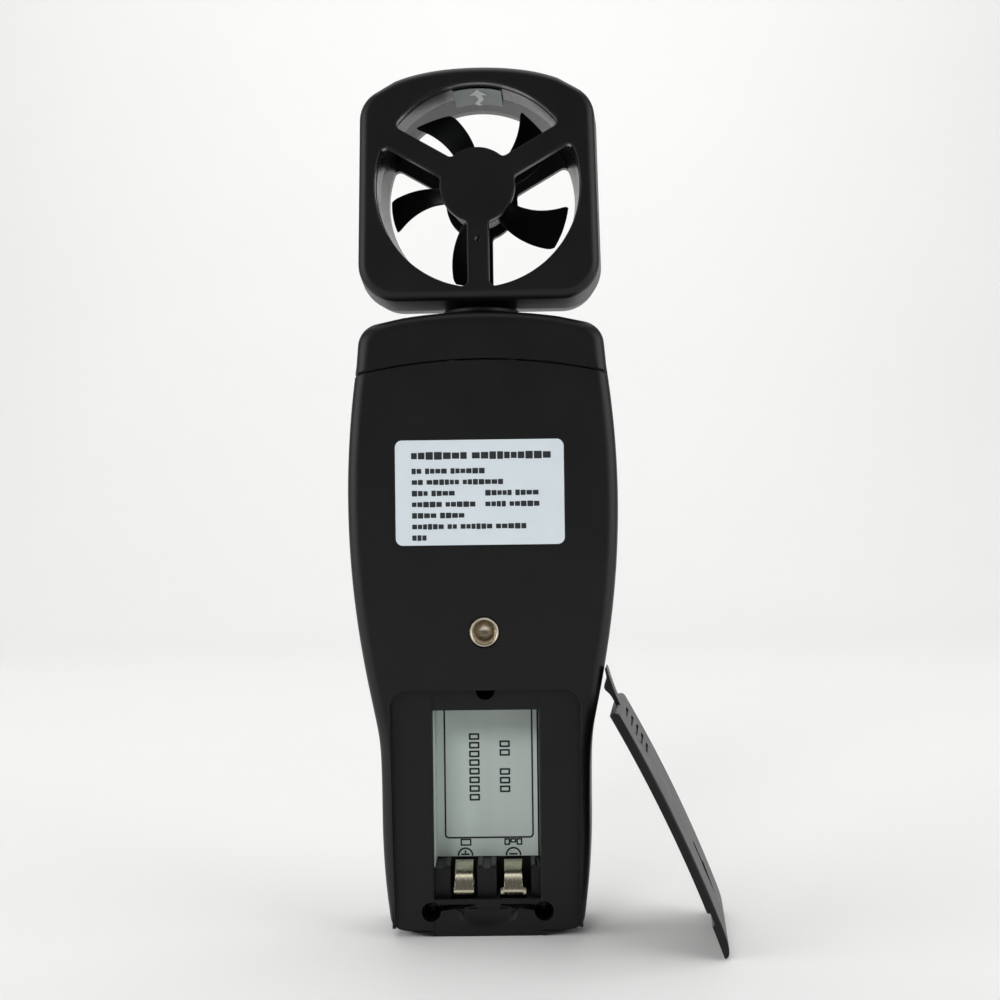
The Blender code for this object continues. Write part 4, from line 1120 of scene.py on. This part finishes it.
LEAF_PATH = (
    (-10.2, 10.2), (-10.45, 11.2), (-10.1, 12.4), (-9.3, 13.8), (-7.8, 15.3), (-5.2, 16.6),
    (-2.2, 17.2), (-0.2, 16.6), (0.9, 14.6), (1.2, 9.4),
)
FOOT_PATH = ((-10.0, 10.1), (-10.05, 10.6), (-10.05, 11.1), (-9.9, 11.7))


def make_contacts():
    for body, x in CONTACT_X.items():
        path = smooth_path(LEAF_PATH, 8)
        half = np.where(path[:, 1] < 12.0, 2.55, 2.3)
        parts = [leaf(f"{body}_leaf", path, half, 0.35, x)]
        if body == "contact_minus":
            parts.append(leaf("flange", smooth_path(FOOT_PATH, 4), 3.25, 0.25, x))
        finish_piece(merged(f"{body}_spring", parts), contact_nickel, body, [body])


make_contacts()

# %% [markdown]
# ## Screws
# Pan-head screws with a cross recess, turned as one profile; the cross is two straight slots
# cut into the head.

# %% Screws


def make_screw(node, spot, head_y, head_r, tip_y, shank_r, inward, body, head_frame=False):
    """One screw; inward is 1 when its tip points along +Y and -1 when it points along -Y."""
    height = 1.5 * inward
    arc = np.linspace(0, np.pi / 2, 8)
    crown = np.column_stack([head_r * np.sin(arc), head_y + 0.7 * height * (1 - np.cos(arc))])
    under = head_y + height
    rest = [(head_r, under), (shank_r, under), (shank_r, tip_y - height), (0, tip_y)]
    place = (spot[0], 0, spot[1])
    screw = turned(f"{node}_turned", np.concatenate([crown, rest]), place, steps=40)
    arm, wide = 0.62 * head_r, 0.16 * head_r
    low, high = sorted((head_y - inward, head_y + 0.75 * height))
    for half_x, half_z in ((arm, wide), (wide, arm)):
        start = (spot[0] - half_x, low, spot[1] - half_z)
        cut(screw, block("slot", start, (spot[0] + half_x, high, spot[1] + half_z)))
    finish_piece(screw, screw_black, body, [node], head_frame=head_frame)


for node, spot in zip(("top", "left", "right"), SCREWS):
    make_screw(f"housing_screw_{node}", spot, -6.3, 2.05, 9.8, 1.0, 1, "housing")
for number, spot in enumerate(HEAD_SCREWS, 1):
    make_screw(f"head_screw_{number}", spot, 13.3, 1.9, -8.0, 0.85, -1, "head", head_frame=True)

# %% [markdown]
# ## The display side
# The window is a clear acrylic plate over the display glass. The keys are silicone pills
# with a dished top that a fingertip finds by feel. The idle display shows only the faint
# ghosts of its digits.

# %% Lens, display and keys


def pill_key(name, x, z):
    """Key solid: skirt, straight wall, rounded shoulder and a shallow dish."""
    half_x, half_z = KEY_HALF
    top, under = FRONT_Y + 1.4, FRONT_Y - WALL - GAP

    def ring(inset, y, dish=0.0):
        outline = rounded_rect(
            half_x - inset, half_z - inset, max(half_z - 0.2 - inset, 0.05), x, z, 10
        )
        return layer(outline, y - dish)

    skirt = rounded_rect(half_x + 0.9, half_z + 0.9, half_z, x, z, 10)
    rings = [layer(skirt, under - 0.8), layer(skirt, under), ring(0.0, under), ring(0.0, top - 0.7)]
    angle = np.radians([20, 40, 60, 75, 90])
    rings += [ring(0.7 * (1 - math.cos(a)), top - 0.7 + 0.7 * math.sin(a)) for a in angle]
    dish = ((1.2, 0.06), (1.8, 0.16), (2.4, 0.22), (3.0, 0.25))
    rings += [ring(inset, top, deep) for inset, deep in dish]
    return loft(name, rings)


def make_display_side():
    half_x, half_z = 25.0, 18.5
    angle = np.radians([0, 30, 60, 90])
    levels = [(14.0, 0.0)] + [(14.7 + 0.3 * math.sin(a), 0.3 * (1 - math.cos(a))) for a in angle]
    rings = [
        layer(rounded_rect(half_x - i, half_z - i, 2.7 - i, 0.0, WINDOW_Z, 12), y)
        for y, i in levels
    ]
    lens = loft("window_lens", rings)
    finish_piece(lens, lens_clear, "housing", ["display_lens"])
    segments = []
    for digit in range(4):
        x = 13.5 - 9.0 * digit
        for bar_x, bar_z, wide, tall in (
            (0, 5.6, 2.3, 0.45), (0, 0, 2.3, 0.45), (0, -5.6, 2.3, 0.45),
            (2.75, 2.8, 0.45, 2.3), (2.75, -2.8, 0.45, 2.3), (-2.75, 2.8, 0.45, 2.3),
            (-2.75, -2.8, 0.45, 2.3),
        ):
            outline = rounded_rect(wide, tall, 0.3, x + bar_x, WINDOW_Z + bar_z, 3)
            segments.append(prism("segment", outline, 13.15, 13.24))
    finish_piece(merged("display_segments", segments), segment_ink, "housing")
    for number, key in enumerate(KEYS):
        piece = pill_key(f"key_{key}_pill", *key_centre(number))
        finish_piece(piece, key_grey, f"key_{key}", [f"key_{key}"])


make_display_side()

# %% [markdown]
# ## Neck, arrow and bead
# The neck is a hollow turned moulding: the spigot goes up into the head, the collar rests on
# the cap, and the stem runs down through the bush. A grey sticker on the duct wall carries a
# light arrow for the flow direction, and the temperature bead looks out of the lower spoke.

# %% Head fittings


def make_head_fittings():
    neck = (
        (3.2, 147.9), (6.8, 147.9), (7.0, 148.1), (7.0, 159.9), (9.6, 160.0), (9.9, 160.3),
        (9.9, 161.1), (9.6, 161.4), (4.0, 161.6), (4.0, 163.7), (3.2, 163.7),
    )
    stem = turned("neck_moulding", neck, along="Z", steps=96, closed=True)
    finish_piece(stem, case_black, "head", ["swivel_neck"], head_frame=True)
    angle = np.radians(90 + 14 * np.linspace(1, -1, 33))[:, None]
    outer, inner = DUCT_R - GAP, DUCT_R - GAP - 0.2
    radius, y = np.array([[outer, outer, inner, inner]]), np.array([[-9.6, 7.0, 7.0, -9.6]])
    x, z = radius * np.cos(angle), DUCT_Z + radius * np.sin(angle)
    sticker = loft("flow_sticker", np.stack([x, y + 0 * x, z], axis=-1))
    finish_piece(
        sticker, arrow_grey, "head", ["arrow_sticker"], head_frame=True
    )
    bend = smooth_path(((0.5, 6.3), (-0.5, 4.0), (0.6, 0.2), (0.0, -4.0)), 10)
    ahead = np.gradient(bend, axis=0)
    side = np.column_stack([-ahead[:, 1], ahead[:, 0]])
    side /= np.linalg.norm(side, axis=1)[:, None]
    half = np.linspace(0.5, 0.8, len(bend))[:, None]
    tip = np.array([[2.4, -4.0], [0.0, -8.9], [-2.4, -4.0]])
    arrow = np.concatenate([bend + side * half, tip, (bend - side * half)[::-1]])
    reach = inner - 0.03
    turn = np.pi / 2 - arrow[:, 0] / reach
    rings = [
        np.column_stack([r * np.cos(turn), arrow[:, 1], DUCT_Z + r * np.sin(turn)])
        for r in (reach + 0.02, reach - 0.02)
    ]
    mark = loft("flow_arrow", rings)
    finish_piece(mark, arrow_light, "head", head_frame=True)
    arc = np.linspace(0, np.pi, 13)
    bead = np.column_stack([0.45 * np.sin(arc), -12.4 - 1.2 * np.cos(arc)])
    drop = turned("bead_drop", bead, (0, 0, 178.2), steps=24)
    finish_piece(
        drop, bead_black, "head", ["temperature_bead"], head_frame=True
    )


make_head_fittings()

# %% [markdown]
# ## The battery door
# The door leans against the case with its outer face away from it. It is built flat, with
# its length up Z and its outer face on -Y, then turned and set down where the frame's door
# stands. Its plate is one section carried across, and the section shrinks at both ends,
# which rounds the long edges. The section is bowed a little outwards along the length.

# %% Battery door
DOOR_FOOT = (59.3, -13.13, 0.15)
DOOR_HALF, TONGUE_HALF = 23.9, 4.5
BOW_DEEP, BOW_MIDDLE = 1.4, 32.0
CUTTER_OUT = -5.0


def door_place():
    """The door's place: lean about its lower edge, turn about the upright, then set down."""
    lean = Matrix.Rotation(math.radians(-24.74), 4, "X")
    turn = Matrix.Rotation(math.radians(84.5), 4, "Z")
    return Matrix.Translation(DOOR_FOOT) @ turn @ lean


def swept_plate(name, section, half, edge):
    """A (y, z) section carried across X; near each end it is drawn in by a quarter circle."""
    section = np.array(section, float)
    middle = section.mean(axis=0)
    size = np.abs(section - middle).max(axis=0)
    angle = np.linspace(0, np.pi / 2, 6)
    inset = edge * (1 - np.sin(angle))
    station = half - edge * (1 - np.cos(angle))
    x = np.concatenate([-station, station[::-1]])
    inset = np.concatenate([inset, inset[::-1]])
    scale = 1 - inset[:, None] / size[None]
    points = middle + (section - middle)[None] * scale[:, None]
    y, z = points[..., 0], points[..., 1]
    return loft(name, np.stack([x[:, None] + 0 * y, y, z], axis=-1))


def bow(z):
    """The plate's outward bow along its length: a shallow arc, deepest at mid height."""
    return -BOW_DEEP * (1 - ((z - BOW_MIDDLE) / BOW_MIDDLE) ** 2)


def make_battery_door():
    outer = smooth_path((
        (-0.2, 0.0), (-0.7, 0.05), (-1.2, 0.4), (-1.65, 1.2), (-2.0, 2.4), (-2.2, 4.0), (-2.3, 6.0),
    ), 6)
    z = np.linspace(8.0, 62.0, 28)
    back, front = np.column_stack([0 * z - 2.3, z]), np.column_stack([0 * z, z[::-1]])
    front = front[front[:, 1] > 11.6]
    top = ((-2.3, 62.9), (-2.15, 63.5), (-1.8, 63.9), (-1.2, 64.1), (-0.2, 64.1), (0.0, 63.9))
    notch = ((0.0, 11.6), (-0.7, 11.2), (-0.7, 8.5), (0.0, 8.1), (0.0, 4.0), (0.0, 0.2))
    section = np.concatenate([outer, back, top, front, notch])
    section[:, 0] += bow(np.clip(section[:, 1], 0.0, 64.0))
    door = swept_plate("door_moulding", section, DOOR_HALF, 0.6)
    hook = smooth_path((
        (-2.2, 60.0), (-2.2, 66.0), (-2.6, 70.5), (-2.95, 73.0), (-2.85, 73.75), (-2.5, 73.2),
        (-1.9, 71.4), (-0.5, 69.7), (-0.25, 68.6), (-1.0, 66.2), (-1.0, 60.0),
    ), 5)
    join(door, swept_plate("tongue", hook, TONGUE_HALF, 0.3))
    grips = []
    for i in range(5):
        z = 50.5 + 2.6 * i
        half = 9.5 - 0.5 * (i - 2) ** 2
        outline = rounded_rect(half, 0.55, 0.5, 0.0, z, 6)
        grips.append(prism("grip", outline, CUTTER_OUT, bow(z) - 1.85))
    cut(door, merged("grips", grips))
    arrow = polygon(((-5.0, 18.0, 0.3), (0.0, 9.5, 0.3), (5.0, 18.0, 0.3), (2.0, 18.0, 0.3),
                     (2.0, 24.0, 0.3), (-2.0, 24.0, 0.3), (-2.0, 18.0, 0.3)), 4)
    cut(door, prism("arrow", arrow, CUTTER_OUT, -3.0))
    door.data.transform(door_place())
    finish_piece(door, case_black, "battery_door", ["battery_door"])


make_battery_door()

# %% [markdown]
# ## The pieces that stay as they are
# Bearings, axle, magnet, board and the parts under the display have the right shape already.
# They keep their meshes and only get their finishes.

# %% Paint the remaining nodes
PAINT = {
    "bearing_back": bearing_bronze, "bearing_front": bearing_bronze,
    "impeller_axle": screw_steel, "impeller_magnet": ferrite_grey,
    "swivel_bush": white_nylon, "friction_washer": washer_rubber, "swivel_retainer": screw_steel,
    "speed_pickup": sensor_grey, "lcd_panel": display_glass, "lcd_carrier": carrier_white,
    "lcd_connector": zebra_pink, "main_board": board_green, "buzzer": buzzer_black,
    "key_sheet": key_rubber,
}
for node, finish in PAINT.items():
    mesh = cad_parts[node].data
    mesh.materials.clear()
    mesh.materials.append(finish)
shown = [n for n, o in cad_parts.items() if not o.hide_render]
print("nodes shown as they are:", len(shown), "unpainted:", sorted(set(shown) - set(PAINT)))

# %% [markdown]
# ## Stage, light and camera
# A pale floor sweeps up into a pale wall. Black satin plastic shows what stands around it,
# so two large softboxes stand to the sides and a little forward, where the rounded edges
# mirror them. The front fill lights the label and the bay but is left out of reflections:
# the flat back then stays deep black.

# %% Floor and backdrop


def make_backdrop():
    """Floor and wall as one profile: straight, quarter circle, straight, carried along X."""
    angle = np.linspace(-np.pi / 2, 0, 24)
    bend = np.column_stack([1.0 + 0.9 * np.cos(angle), 0.9 + 0.9 * np.sin(angle)])
    profile = np.concatenate([[(-2.5, 0.0)], bend, [(1.9, 3.6)]])
    x = np.linspace(-4.0, 4.0, 9)[:, None]
    y, z = profile[None, :, 0], profile[None, :, 1]
    points = np.stack([x + 0 * y, y + 0 * x, z + 0 * x], axis=-1)
    mesh = bpy.data.meshes.new("backdrop")
    mesh.from_pydata(points.reshape(-1, 3).tolist(), [], grid_cells(*points.shape[:2]).tolist())
    mesh.shade_smooth()
    sweep = bpy.data.objects.new("backdrop", mesh)
    bpy.context.scene.collection.objects.link(sweep)
    finish, tree, shader, place = start_finish("matt_white_paper_sweep", IOR=1.45, Roughness=0.6)
    drift = noise(tree, place, 300.0, 2.0)
    tree.links.new(two_colours(tree, drift, "#f0f0ef", "#f3f3f2"), shader.inputs["Base Color"])
    mesh.materials.append(finish)


make_backdrop()

# %% Lights


def softbox(name, place, aim, size, power, mirrored_too=True):
    """A rectangular area light that looks at a point; mirrored_too lets it show in reflections."""
    light = bpy.data.lights.new(name, "AREA")
    light.shape = "RECTANGLE"
    light.size, light.size_y = size
    light.energy = power
    lamp = bpy.data.objects.new(name, light)
    lamp.location = place
    lamp.visible_glossy = mirrored_too
    lamp.rotation_euler = (Vector(aim) - Vector(place)).to_track_quat("-Z", "Y").to_euler()
    bpy.context.scene.collection.objects.link(lamp)


softbox("top_box", (0.0, 0.1, 1.5), (0.0, 0.1, 0.0), (1.6, 1.4), 8.0)
softbox("left_box", (-1.25, -0.5, 0.45), (0.0, 0.0, 0.12), (1.5, 1.1), 12.0)
softbox("right_box", (1.25, -0.5, 0.45), (0.0, 0.0, 0.12), (1.5, 1.1), 12.0)
softbox("front_fill", (-0.5, -1.6, 0.9), (0.0, 0.0, 0.1), (0.5, 0.5), 8.0, mirrored_too=False)
softbox("wall_wash", (0.0, 0.6, 1.9), (0.0, 1.9, 0.9), (2.4, 0.6), 20.0)

world = bpy.data.worlds.new("dim_room")
world.use_nodes = True
world.node_tree.nodes["Background"].inputs["Color"].default_value = linear("#ffffff")
world.node_tree.nodes["Background"].inputs["Strength"].default_value = 0.12
bpy.context.scene.world = world
bpy.context.scene.view_settings.view_transform = "Standard"

# %% Camera
camera_data = bpy.data.cameras.new("camera")
camera_data.lens = 56.6
camera_data.sensor_width = 36.0
camera = bpy.data.objects.new("camera", camera_data)
bpy.context.scene.collection.objects.link(camera)
eye = Vector((0.00749, -0.415, 0.10403))
forward = Vector((-0.00763, 1.0, 0.01781)).normalized()
right = forward.cross(Vector((0, 0, 1))).normalized()
up = right.cross(forward)
roll = 0.0125
right, up = (right - roll * up).normalized(), (up + roll * right).normalized()
turn = Matrix((right, up, -forward)).transposed().to_4x4()
camera.matrix_world = Matrix.Translation(eye) @ turn
bpy.context.scene.camera = camera
